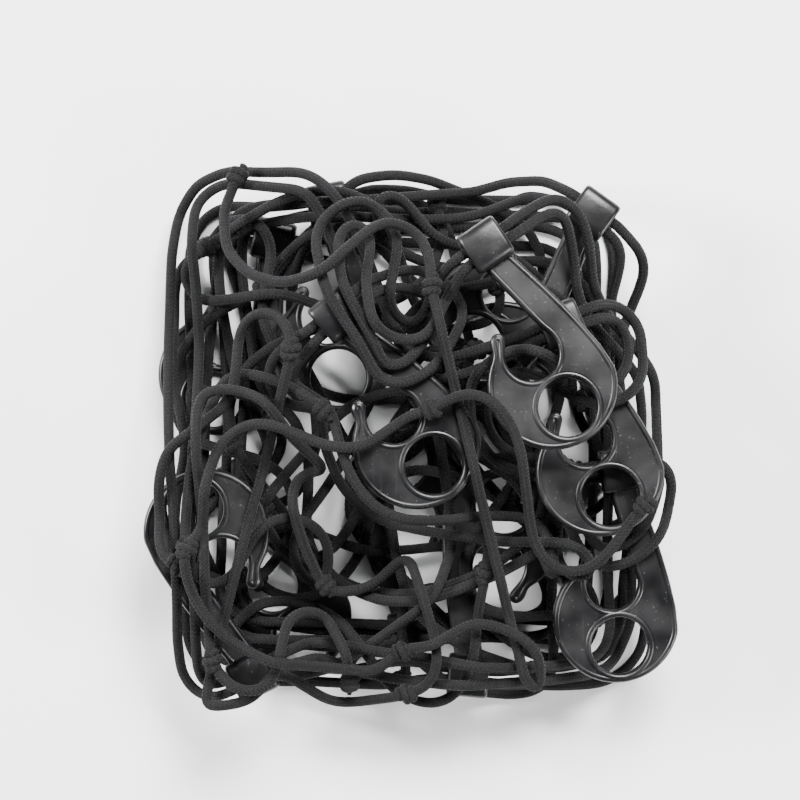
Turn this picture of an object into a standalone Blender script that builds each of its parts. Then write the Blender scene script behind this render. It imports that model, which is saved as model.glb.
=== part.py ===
"""An elastic cargo net, gathered into a flat heap that lies on a table.

Four long cords and five cross cords are knotted into a mesh. A doubled border cord runs round it, through
the barrels of twelve plastic hooks. The plan (x to the right, y up the heap) is laid out first, in
millimetres and with each point of the plan as a complex number. Every strand then gets its height from what
lies under it, and is made as a plain four-sided tube with a lump at each knot.
"""

import cmath
import math

import bmesh
import bpy
import numpy as np
from mathutils import Matrix, Vector

METRES = 0.001  # one millimetre
SEED = 0.6269  # turns all the even spreads of numbers below

# The net, stretched out
MESH = 163.0  # side of one mesh of the net
LONG_CORDS, CROSS_CORDS = 4, 5  # inside the border
COLUMNS, ROWS = CROSS_CORDS + 1, LONG_CORDS + 1  # meshes along and across: 0.98 m by 0.82 m unstretched
HOOKS_A_SIDE = 3  # a corner hook and two more

# The cord: 4 mm braid, as a square section of the same area
SIDE = 3.4
HALF = SIDE / 2
KNOT_HALF = 2.6  # half the side of the lump where a cord is knotted
KNOT_CORE, KNOT_REACH = 1.9, 4.6  # half length of the lump, and of the lump with its slopes
CLEAR = 0.54  # height left between two strands where one lies on the other
BESIDE = 0.5  # and between two that lie side by side
OFF_THE_FLOOR = 0.4  # the lowest cords; the lowest hooks lie flat on the floor
LONGEST, SHARPEST = 12.0, math.radians(32)  # a straight piece of a tube, and the turn at its end
MEETING_GAP = 22.0  # two strands that meet twice within this way keep the same one on top
ITSELF = 15.0  # a strand may lie on itself further along than this
STEEPEST, STEEPER = 0.62, 0.9  # rise of a strand for each millimetre of its way, and near a barrel
BY_HOOK = 16.0  # how near that is

# The heap: a rounded rectangle, as the net was packed
HEAP_X, HEAP_Y = 186.0, 205.0
HEAP_CORNER = 26.0
PX_PER_MM = 2.8  # the photograph's scale, for places read in its 800 pixels
MIDDLE_PX = (411.0, 437.0)  # the heap's middle there

# A hook, from the middle of its disc, with its shank towards +x
DISC = 23.0
EYE, EYE_AT = 10.4, -9.5
THROAT, THROAT_AT = 9.6, 13.0
PLATE = 5.0
BARREL_AT = complex(54.0, -8.0)
BARREL_LONG, BARREL_WIDE, BARREL_HIGH = 15.0, 15.6, 10.4
SLOT_WIDE, SLOT_HIGH = 9.2, 4.8
PAIR = 2.12  # each border cord from the middle of the slot
RUN_UP = 10.5  # a border cord is straight this far from the barrel's middle

BLACK_CORD = (0.012, 0.012, 0.013, 1)
BLACK_PLASTIC = (0.016, 0.015, 0.016, 1)


def unit(z):
    return z / abs(z)


def spot(px, py):
    """The plan's point for a place in the photograph."""
    return complex((px - MIDDLE_PX[0]) / PX_PER_MM, (MIDDLE_PX[1] - py) / PX_PER_MM)


def noise(*keys):
    """An even spread of numbers from 0 to 1, one for each set of keys."""
    total = SEED
    for place, key in enumerate(keys):
        total += math.sin(key * (12.9898 + 7.31 * place) + 4.137 * place) * 43758.5453
    return total - math.floor(total)


# What lies on what: each cord keeps its level, 0 at the bottom, and only the border changes its own, slowly
LONG_LEVELS = {1: 0.12, 2: 0.28, 3: 0.44, 4: 0.60}
CROSS_LEVELS = {1: 0.20, 2: 0.36, 3: 0.52, 4: 0.94, 5: 0.98}
RISING_CORD, RISING_SIDES, RISEN = 3, (3, 5), 0.91  # one long cord comes up to the top for its last side
COIL_START, COIL_TURN = 37.0, 4 * 360 + 33.0  # degrees
COIL_INSET, COIL_DEPTH = 8.0, 21.0  # how far inside the outline it starts and ends, and how much deeper it goes
SLACK, SLACK_MORE = 1.3, 30.0  # a side that doesn't show is this many times its chord long, and this much more
# Meetings where the other strand is on top than the levels say: the two strands and the place
SWAPPED = (("border_cord_inner", "border_cord_inner", (33.0, 26.3)),)
LED = 36.0  # a border cord takes its own way this far from a barrel's mouth
HOOK_SPOT = 1.0  # how far each of the points spread over a hook reaches
UNDERMOST, UNDER_REACH = -0.5, 45.0  # the border's level where it runs through a hook on the floor
# How far the shank of a hook that doesn't show leans off the outward direction (degrees)
HOOK_LEANS = {"e": 28.0, "k": -4.0, "g": -60.0, "h": -52.0, "i": -28.0, "j": 12.0, "l": 12.0, "f": -4.0}

# Hooks in their order round the border, from a corner on top.
# name, disc's middle (px), direction of the shank (degrees), the border's level there, rise per mm along x, y
HOOKS = (
    ("b", (552, 391), 124, 0.900, (0.010, -0.040)),
    ("a", (418, 450), 130, 0.885, (-0.030, 0.030)),
    ("d", (620, 628), 97, 0.780, (-0.040, 0.020)),
    ("c", (602, 478), 113, 0.830, (0.020, -0.020)),
    ("e", None, None, 0.740, (0, 0)),
    ("k", None, None, 0.500, (0, 0)),
    ("g", None, None, 0.080, (0, 0)),
    ("h", None, None, 0.050, (0, 0)),
    ("i", None, None, 0.030, (0, 0)),
    ("j", None, None, 0.000, (0, 0)),
    ("l", None, None, 0.160, (0, 0)),
    ("f", None, None, 0.400, (0, 0)),
)
ON_THE_FLOOR = "ghij"
BACKWARDS = "d"  # the border runs through this one the other way
HOOK_AFTER = 50.0  # a hook that would sit at a tie comes this far after it

# Knots that show: row (long cord), column (cross cord), place (px)
SHOWN_KNOTS = (
    (4, 5, (433, 417)),
    (3, 5, (184, 552)),
    (3, 4, (322, 598)),
    (2, 4, (407, 704)),
    (2, 5, (402, 655)),
)
# Border ties that show: column, row, place (px), way of the border (degrees)
SHOWN_TIES = (
    (6, 3, (326, 416), -80),
    (6, 2, (561, 578), 200),
)
# Sides of meshes that show, as the photograph has them, between their two knots
SHOWN_BORDER = (6, 3)
BORDER_OUTER = (
    (321, 435), (324, 457), (331, 478), (343, 497), (359, 514), (378, 528), (398, 535), (427, 539),
    (454, 542), (480, 546), (507, 549), (534, 548), (561, 547), (579, 550), (593, 560), (600, 574),
    (592, 588), (577, 588),
)  # fmt: skip
BORDER_INNER = (
    (338, 435), (341, 452), (347, 470), (355, 487), (368, 505), (385, 518), (400, 524), (427, 526),
    (454, 526), (480, 521), (507, 522), (534, 525), (548, 532), (553, 548), (556, 564),
)  # fmt: skip
SHOWN_SIDES = {
    ("long", 3, 5): (
        (184, 528), (187, 500), (191, 470), (197, 445), (206, 415), (216, 390), (234, 376), (262, 380),
        (290, 389), (310, 400),
    ),
    ("cross", 5, 3): (
        (196, 548), (206, 530), (204, 500), (209, 475), (216, 454), (229, 439), (246, 429), (262, 426),
        (280, 430), (297, 438), (318, 447), (345, 454), (366, 451), (384, 442), (398, 428), (414, 414),
    ),
    ("cross", 5, 2): (
        (381, 681), (347, 677), (321, 672), (295, 670), (273, 668), (245, 655), (217, 636), (203, 618),
        (192, 600), (188, 578),
    ),
    ("cross", 5, 1): (
        (527, 683), (542, 676), (545, 662), (533, 650), (515, 639), (495, 631), (475, 630), (458, 634),
        (446, 646), (425, 655),
    ),
    ("cross", 4, 3): (
        (315, 580), (304, 556), (295, 528), (291, 505), (293, 484), (303, 476), (318, 476), (334, 480),
        (320, 467), (299, 455), (288, 437), (280, 420), (267, 406), (248, 396), (228, 394), (210, 400),
        (196, 412),
    ),
    ("cross", 4, 2): (
        (425, 700), (438, 684), (439, 660), (434, 637), (425, 610), (416, 575), (412, 556), (405, 560),
        (396, 575), (382, 590), (364, 600), (343, 605),
    ),
    ("cross", 4, 1): (
        (206, 698), (222, 706), (240, 712), (255, 707), (264, 694), (270, 675), (286, 680), (304, 696),
        (322, 709), (343, 717), (364, 713), (386, 711),
    ),
}  # fmt: skip


def inside(p, inset):
    """p, drawn in until it lies this far inside the heap's outline."""
    corner = HEAP_CORNER - min(inset, 12)
    reach_x, reach_y = HEAP_X / 2 - inset - corner, HEAP_Y / 2 - inset - corner
    middle = complex(max(-reach_x, min(reach_x, p.real)), max(-reach_y, min(reach_y, p.imag)))
    out = p - middle
    return p if abs(out) <= corner else middle + out / abs(out) * corner


def even(points, step):
    """The same line with its points this far apart."""
    line = np.array(points)
    way = np.concatenate([[0], np.cumsum(np.abs(np.diff(line)))])
    count = max(2, round(way[-1] / step) + 1)
    return np.interp(np.linspace(0, way[-1], count), way, line)


def through(points):
    """A smooth curve through the points (Catmull-Rom)."""
    p = [2 * points[0] - points[1], *points, 2 * points[-1] - points[-2]]
    out = []
    for a, b, c, d in zip(p, p[1:], p[2:], p[3:]):
        for t in np.arange(0, 1, 0.125):
            bend, twist = 2 * a - 5 * b + 4 * c - d, 3 * b - a - 3 * c + d
            out.append(b + (c - a) * t / 2 + bend * t**2 / 2 + twist * t**3 / 2)
    return [*out, points[-1]]


U = np.linspace(0, 1, 61)
# The headings that a slack strand may take along its way: bows, lopsided bows and serpentines, to either side
BOWS = [
    side * (1 - 2 * U + lean * np.sin(2 * math.pi * U)) for side in (-1, 1) for lean in (-0.5, 0.0, 0.5)
] + [side * np.cos(2 * math.pi * U + turn) for side in (-1, 1) for turn in (-0.5, 0.5)]


class Cover:
    """How much cord lies over each small square of the heap, so that a new strand can take the emptiest way."""

    CELL = 6.0

    def __init__(self):
        self.load = np.zeros((60, 60))

    def cells(self, line):
        line = np.array(line)
        return (line.real // self.CELL).astype(int) + 30, (line.imag // self.CELL).astype(int) + 30

    def add(self, line, share=1.0):
        length = abs(np.diff(line)).sum() / len(line)
        np.add.at(self.load, self.cells(line), length * 4 / self.CELL**2 * share)

    def cost(self, line):
        return (self.load[self.cells(line)] ** 1.5).mean()


def bow(p, q, length, heading, inset):
    """A strand from p to q of this length along the heading, and how far the outline had to push it in."""
    chord = q - p
    low, high = 0.0, 3.0
    for _ in range(16):
        swing = (low + high) / 2
        step = np.exp(1j * swing * heading)
        low, high = (swing, high) if abs(step.mean()) > abs(chord) / length else (low, swing)
    line = np.concatenate([[0], np.cumsum((step[1:] + step[:-1]) / 2)])
    line = p + line / line[-1] * chord
    drawn_in = np.array([inside(x, inset) for x in line])
    return drawn_in, np.abs(drawn_in - line).mean()


def slack_side(cover, p, way_p, q, way_q, length, key, own=None):
    """The strand that crosses the least, bends the least at its ends, and keeps inside the heap."""
    best, best_cost = None, 1e9
    wobble = 0.16 * np.sin(2 * math.pi * (2.3 * U + noise(*key)))
    for number, heading in enumerate(BOWS):
        line, pushed = bow(p, q, length, heading + wobble, 2.5 + 9 * noise(*key, 1))
        kink = 0.0
        if way_p is not None:
            kink += abs(cmath.phase((line[2] - line[0]) / way_p))
        if way_q is not None:
            kink += abs(cmath.phase((line[-1] - line[-3]) / way_q))
        cost = cover.cost(line) + 0.5 * pushed + 0.9 * kink + (3 * own.cost(line) if own else 0)
        if cost < best_cost:
            best, best_cost = line, cost
    cover.add(best)
    if own:
        own.add(best[6:-6])
    return best


def net_level(kind, number, side):
    """The level of a net's cord at the start of one of its sides."""
    if kind == "cross":
        return CROSS_LEVELS[number]
    first, last = RISING_SIDES
    risen = min(1, max(0, (side - first) / (last - first))) if number == RISING_CORD else 0
    return LONG_LEVELS[number] * (1 - risen) + RISEN * risen


def rim(degrees, inset):
    """A point of the rounded rectangle this far inside the heap's outline, in this direction from the middle."""
    way = cmath.rect(1, math.radians(degrees))
    low, high = 0.0, 150.0
    for _ in range(24):
        reach = (low + high) / 2
        low, high = (reach, high) if inside(way * reach, inset) == way * reach else (low, reach)
    return way * low


def coil(share):
    """The border's three sides that don't show are coiled near the outline, inwards and outwards again."""
    return rim(COIL_START + COIL_TURN * share, COIL_INSET + COIL_DEPTH * math.sin(math.pi * share) ** 2)


def coil_share(at):
    """How far along the coil a distance round the border is."""
    return (at - ROWS * MESH) / ((ROWS + 2 * COLUMNS) * MESH)


def knot_plan():
    """The place of each knot, spread over the heap and drawn together where a side would be too long."""
    knots = {}
    for row in range(1, ROWS):
        for column in range(1, COLUMNS):
            x = 36 + 13 * (row - 1) + 10 * noise(row, column, 1)
            y = 36 + 14 * (column - 1) + 10 * noise(row, column, 2)
            knots[row, column] = complex(x if column % 2 else -x, y if row % 2 else -y)
    shown = {(row, column): spot(*px) for row, column, px in SHOWN_KNOTS}
    knots.update(shown)
    fixed = dict(shown)
    for at, kind, key, place, _ in border_stops()[0]:
        if kind == "tie":
            row, column = key[1], key[0]
            knots[row, column] = fixed[row, column] = place
    for _ in range(80):
        for key in list(knots):
            if key in fixed:
                continue
            for row, column in ((-1, 0), (1, 0), (0, -1), (0, 1)):
                gap = knots[key[0] + row, key[1] + column] - knots[key]
                if abs(gap) > 0.8 * MESH:
                    knots[key] += gap / abs(gap) * (abs(gap) - 0.8 * MESH) * 0.3
            for other, there in knots.items():
                gap = knots[key] - there
                if other != key and abs(gap) < 26:
                    knots[key] += gap / max(abs(gap), 1) * (26 - abs(gap)) * 0.2
            knots[key] = inside(knots[key], 9)
    return knots


def hook_way(number):
    """How far round the border a hook sits."""
    side, k = divmod(number, HOOKS_A_SIDE)
    meshes = (ROWS, COLUMNS)[side % 2]
    before = sum((ROWS, COLUMNS, ROWS, COLUMNS)[:side])
    after_tie = HOOK_AFTER if k and meshes % HOOKS_A_SIDE == 0 else 0
    return (before + meshes * k / HOOKS_A_SIDE) * MESH + after_tie


def hook_frame(hook):
    """The middle of a hook's disc, and the turn of its shank."""
    name, px, degrees, _, _ = hook
    if px:
        return spot(*px), cmath.rect(1, math.radians(degrees))
    share = coil_share(hook_way(HOOKS.index(hook)))
    barrel = coil(share) * 0.97
    outward = unit(coil(share + 0.004) - coil(share - 0.004)) * -1j
    turn = outward * cmath.rect(1, math.radians(HOOK_LEANS[name]))
    return barrel - BARREL_AT * turn, turn


def border_stops():
    """What the border meets on its way round, from a corner: (distance, kind, key, place, way there)."""
    corners = ((COLUMNS, ROWS), (COLUMNS, 0), (0, 0), (0, ROWS), (COLUMNS, ROWS))
    shown = {(x, y): (spot(*px), cmath.rect(1, math.radians(degrees))) for x, y, px, degrees in SHOWN_TIES}
    stops, at = [], 0.0
    for (x0, y0), (x1, y1) in zip(corners, corners[1:]):
        meshes = abs(x1 - x0) + abs(y1 - y0)
        for k in range(1, meshes):
            key = (x0 + (x1 - x0) * k // meshes, y0 + (y1 - y0) * k // meshes)
            place, way = shown.get(key, (None, None))
            if place is None and at > 0:
                place = coil(coil_share(at + k * MESH))
            stops.append([at + k * MESH, "tie", key, place, way])
        at += meshes * MESH
    for number, hook in enumerate(HOOKS):
        middle, turn = hook_frame(hook)
        way = -turn * 1j if hook[0] in BACKWARDS else turn * 1j
        stops.append([hook_way(number), "hook", number, middle + BARREL_AT * turn, way])
    stops.sort(key=lambda stop: stop[0])
    # A tie that neither shows nor lies in the coil comes between its neighbours.
    for k, stop in enumerate(stops):
        if stop[3] is None:
            before, after = stops[k - 1], stops[(k + 1) % len(stops)]
            share = (stop[0] - before[0]) / ((after[0] - before[0]) % at)
            stop[3] = before[3] + (after[3] - before[3]) * share if after[3] is not None else before[3] + 20
            stop[3] = inside(stop[3] + cmath.rect(22, 2 * math.pi * noise(*stop[2], 9)), 8)
    return stops, at


def led_out(line, way):
    """The line, led out of a barrel's mouth along the border's way there before it turns to its own."""
    run = np.concatenate([[0], np.cumsum(np.abs(np.diff(line)))])
    reach = np.clip(run / min(LED, run[-1] * 0.9), 0, 1)
    own = reach * reach * (3 - 2 * reach)
    led = line * own + (line[0] + way * run) * (1 - own)
    return np.array([inside(p, 2) if t > 0.3 else p for p, t in zip(led, reach)])


def border_lines(stops, around, cover):
    """The way of the doubled border from each stop to the next."""
    lines = []
    for k, (at, kind, _, place, way) in enumerate(stops):
        after = stops[(k + 1) % len(stops)]
        lead = RUN_UP if kind == "hook" else 0
        lead_after = RUN_UP if after[1] == "hook" else 0
        way_p = way if way is not None else unit(lines[-1][-1] - lines[-1][-3])
        start = place + (way * lead if lead else 0)
        end = after[3] - (after[4] * lead_after if lead_after else 0)
        length = max((after[0] - at) % around - lead - lead_after, 1.02 * abs(end - start))
        if at > ROWS * MESH and after[0] > at:
            shares = np.linspace(coil_share(at + lead), coil_share(after[0] - lead_after), 61)
            base = np.array([coil(share) for share in shares])
            u = np.linspace(0, 1, 61)
            ease = u * u * (3 - 2 * u)
            line = base + (start - base[0]) * (1 - ease) + (end - base[-1]) * ease
            line = np.array([inside(p, 4) for p in line])
        else:
            line = slack_side(cover, start, way_p, end, after[4], length, (k, 7))
        if lead:
            line = led_out(line, way)
        if lead_after:
            line = led_out(line[::-1], -after[4])[::-1]
        lines.append(line)
        cover.add(lines[-1])
    return lines


def border_level(s, around):
    """The border's level from hook to hook, and under everything where it meets a hook on the floor."""
    stops = [(hook_way(number), number) for number in range(len(HOOKS))]
    ways = [*(at for at, _ in stops), around]
    level = np.interp(s % around, ways, [*(HOOKS[n][3] for _, n in stops), HOOKS[0][3]])
    for at, number in stops:
        if HOOKS[number][0] in ON_THE_FLOOR:
            away = abs((s - at + around / 2) % around - around / 2)
            near = np.clip(2 - away / UNDER_REACH * 2, 0, 1)
            level = level * (1 - near) + (UNDERMOST - 0.01 * number) * near
    return level


def border_route(stops, lines, around, side):
    """One border cord, as (points, levels, marks); side is -1 for the outer and 1 for the inner one."""
    points, at, marks = [], [], []
    for k, (here, kind, key, place, way) in enumerate(stops):
        after = stops[(k + 1) % len(stops)]
        lead = RUN_UP if kind == "hook" else 0
        lead_after = RUN_UP if after[1] == "hook" else 0
        line = even(lines[k], 2.0)
        if key == SHOWN_BORDER:
            shown = BORDER_OUTER if side < 0 else BORDER_INNER
            first, last = line[0] + way * 1j * PAIR * side, line[-1] + after[4] * 1j * PAIR * side
            line = even(through([first, *(spot(*px) for px in shown), last]), 2.0)
        else:
            ways = np.gradient(line)
            ways /= np.abs(ways)
            bulge = np.sin(math.pi * np.linspace(0, 1, len(line))) ** 2
            line = line + ways * 1j * side * (2.6 + (0.6 + 2.6 * noise(k, 2)) * bulge)
        if kind == "hook":
            for reach in (-RUN_UP, RUN_UP):
                marks.append(("hook", len(points), key, reach))
                points.append(place + way * reach + way * 1j * PAIR * side)
                at.append(here + reach)
        else:
            marks.append(("tie", len(points), key, 0))
            points.append(line[0])
            at.append(here)
        points.extend(line[1:-1])
        length = (after[0] - here) % around
        at.extend(np.linspace(here + lead, here + length - lead_after, len(line))[1:-1])
    levels = border_level(np.array(at), around) + 0.0005 * side
    return points, list(levels), marks


def net_route(kind, number, knots, ties, cover):
    """One cord of the net from border to border, as (points, levels, marks)."""
    if kind == "long":
        path = [knots[number, column] for column in range(1, COLUMNS)]
        ends = ((0, number), (COLUMNS, number))
    else:
        path = [knots[row, number] for row in range(1, ROWS)]
        ends = ((number, 0), (number, ROWS))
    anchors = [ties[ends[0]], *path, ties[ends[1]]]
    points, levels, marks = [], [], []
    line, own = None, Cover()
    for k in range(len(anchors) - 1):
        if (kind, number, k) in SHOWN_SIDES:
            own.add(even([spot(*px) for px in SHOWN_SIDES[kind, number, k]], 2.0))
    for k, (p, q) in enumerate(zip(anchors, anchors[1:])):
        shown = SHOWN_SIDES.get((kind, number, k))
        if shown:
            line = even(through([p, *(spot(*px) for px in shown), q]), 2.0)
        else:
            ahead = SHOWN_SIDES.get((kind, number, k + 1))
            way_p = unit(line[-1] - line[-3]) if line is not None else None
            way_q = unit(spot(*ahead[0]) - q) if ahead else None
            length = max(min(MESH, SLACK * abs(q - p) + SLACK_MORE), 1.02 * abs(q - p))
            line = even(slack_side(cover, p, way_p, q, way_q, length, (number, k, ord(kind[0])), own), 2.0)
        marks.append(("end" if k == 0 else "knot", len(points), k, 0))
        points.extend(line[:-1])
        level, next_level = (net_level(kind, number, side) for side in (k, k + 1))
        levels.extend(np.linspace(level, next_level, len(line))[:-1])
    marks.append(("end", len(points), len(anchors) - 1, 0))
    points.append(anchors[-1])
    levels.append(next_level)
    return points, [level + 1e-6 * k for k, level in enumerate(levels)], marks


def soften(points, marks, closed, passes=10):
    """Rounds the line's kinks, and leaves the marked points where they are."""
    line = np.array(points)
    held = {k for _, k, _, _ in marks}
    held |= {k + s for kind, k, _, _ in marks if kind == "hook" for s in (-1, 1)}
    free = np.array([k not in held for k in range(len(line))])
    for _ in range(passes):
        near = (np.roll(line, 1) + np.roll(line, -1)) / 2
        moved = (line + near) / 2
        if not closed:
            moved[0], moved[-1] = line[0], line[-1]
        line = np.where(free, moved, line)
    return list(line)


def thinned(points, levels, marks, closed):
    """Few enough points for a tube: more where it turns, and four at each knot's lump."""
    line = np.array(points)
    count = len(line)
    ahead = np.roll(line, -1) - line
    way = np.concatenate([[0], np.cumsum(np.abs(ahead))])
    total = way[count] if closed else way[count - 1]
    lumps, straights = [], []
    for kind, k, _, _ in marks:
        if kind not in ("hook", "tie"):
            lumps.append(way[k])
    hooks = [k for kind, k, _, _ in marks if kind == "hook"]
    for first, second in zip(hooks[::2], hooks[1::2]):
        straights.append((way[first], way[second]))
    wanted = {}
    for s in lumps:
        lump = ((-KNOT_REACH, HALF), (-KNOT_CORE, KNOT_HALF), (KNOT_CORE, KNOT_HALF), (KNOT_REACH, HALF))
        for reach, half in lump:
            if closed or -0.1 < s + reach < total + 0.1:
                wanted[(s + reach) % total if closed else s + reach] = half
    for s in (0.0, total) if not closed else ():
        wanted[s] = KNOT_HALF
    for pair in straights:
        for s in pair:
            wanted[s] = HALF
    keys = sorted(wanted)
    out = list(keys)
    spans = list(zip(keys, keys[1:]))
    if closed:
        spans.append((keys[-1], keys[0] + total))
    xs = np.concatenate([way[:count], [total]]) if closed else way[:count]
    wrapped = np.concatenate([line, line[:1]]) if closed else line

    def at(s):
        return complex(np.interp(s % total if closed else s, xs, wrapped))

    for a, b in spans:
        if b - a < 7.5 or (a, b) in straights:
            continue
        s, last = a, at(a + 1.0) - at(a)
        done = a
        while s < b - 4.5:
            s += 1.0
            now = at(s + 1.0) - at(s)
            turned = abs(cmath.phase(now / last))
            if (turned > SHARPEST and s - done > 4.5) or s - done > LONGEST:
                out.append(s % total if closed else s)
                last, done = now, s
    out = sorted(set(out))
    halves = [wanted.get(s, HALF) for s in out]
    levels_all = np.concatenate([levels, levels[:1]]) if closed else np.array(levels)
    return [at(s) for s in out], [float(np.interp(s, xs, levels_all)) for s in out], halves, out, total


class Strand:
    def __init__(self, name, route, closed):
        points, levels, marks = route
        self.name, self.closed = name, closed
        points = soften(points, marks, closed)
        self.plan, self.levels, self.halves, self.at, self.total = thinned(points, levels, marks, closed)
        line = np.array(points)
        way = np.concatenate([[0], np.cumsum(np.abs(np.roll(line, -1) - line))])
        self.hooks = [(number, float(way[k])) for kind, k, number, _ in marks if kind == "hook"]


def strands():
    knots = knot_plan()
    stops, around = border_stops()
    ties = {key: place for _, kind, key, place, _ in stops if kind == "tie"}
    cover = Cover()
    for hook in HOOKS:
        middle, turn = hook_frame(hook)
        cover.add(middle + turn * np.linspace(-20, 60, 60), 4.0)
    for side in SHOWN_SIDES.values():
        cover.add(even([spot(*px) for px in side], 2.0))
    lines = border_lines(stops, around, cover)
    out = []
    for number in range(1, LONG_CORDS + 1):
        out.append(Strand(f"long_cord_{number}", net_route("long", number, knots, ties, cover), False))
    for number in range(1, CROSS_CORDS + 1):
        out.append(Strand(f"cross_cord_{number}", net_route("cross", number, knots, ties, cover), False))
    for name, side in (("border_cord_outer", -1), ("border_cord_inner", 1)):
        out.append(Strand(name, border_route(stops, lines, around, side), True))
    return out


def plate_spots(step=2.6):
    """Points spread over a hook's plate, its edges and its barrel, each with the height of its top."""
    out = []
    for x in np.linspace(-BARREL_WIDE / 2 + 0.3, BARREL_WIDE / 2 - 0.3, 7):
        for y in np.linspace(-BARREL_LONG / 2 + 0.3, BARREL_LONG / 2 - 0.3, 7):
            out.append((BARREL_AT + complex(x, y), BARREL_HIGH))
    outline = hook_outline()
    for p in (*even([*outline, outline[0]], 2.0), *arc(EYE_AT, EYE, 0, 349, 31)):
        out.append((p, PLATE))
    for x in np.arange(-DISC + 0.5, 48, step):
        for y in np.arange(-DISC + 0.5, DISC, step):
            p = complex(x, y)
            on_shank = 0 < x < 48 and -22.8 + 0.173 * x < y < -9.9 + 0.143 * x
            on_disc = abs(p) < DISC and not (x > THROAT_AT and -8 < y < 7)
            if (on_disc or on_shank) and abs(p - EYE_AT) > EYE and abs(p - THROAT_AT) > THROAT:
                out.append((p, PLATE))
    return out


def parted(groups, along, gap):
    """Splits each group of samples wherever there is a gap between them along a strand."""
    order = np.lexsort((along, groups))
    sorted_groups, sorted_along = groups[order], along[order]
    new = np.ones(len(order), bool)
    new[1:] = (sorted_groups[1:] != sorted_groups[:-1]) | (np.diff(sorted_along) > gap)
    out = np.empty(len(order), int)
    out[order] = np.cumsum(new) - 1
    return out


def tied_points(all_strands, first, hook_first):
    """The strands' points at the barrels, each with its hook and its height above the hook's under side."""
    tied = []
    for s_number, strand in enumerate(all_strands):
        for k, s in enumerate(strand.at):
            for hook, hook_s in strand.hooks:
                if abs(s - hook_s) < 1e-6:
                    middle, _ = hook_frame(HOOKS[hook])
                    tilt = complex(HOOKS[hook][4][0], -HOOKS[hook][4][1])
                    lift = ((strand.plan[k] - middle) * tilt).real + BARREL_HIGH / 2
                    tied.append((first[s_number] + k, hook_first + hook, lift))
    return (np.array(column) for column in zip(*tied))


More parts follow.
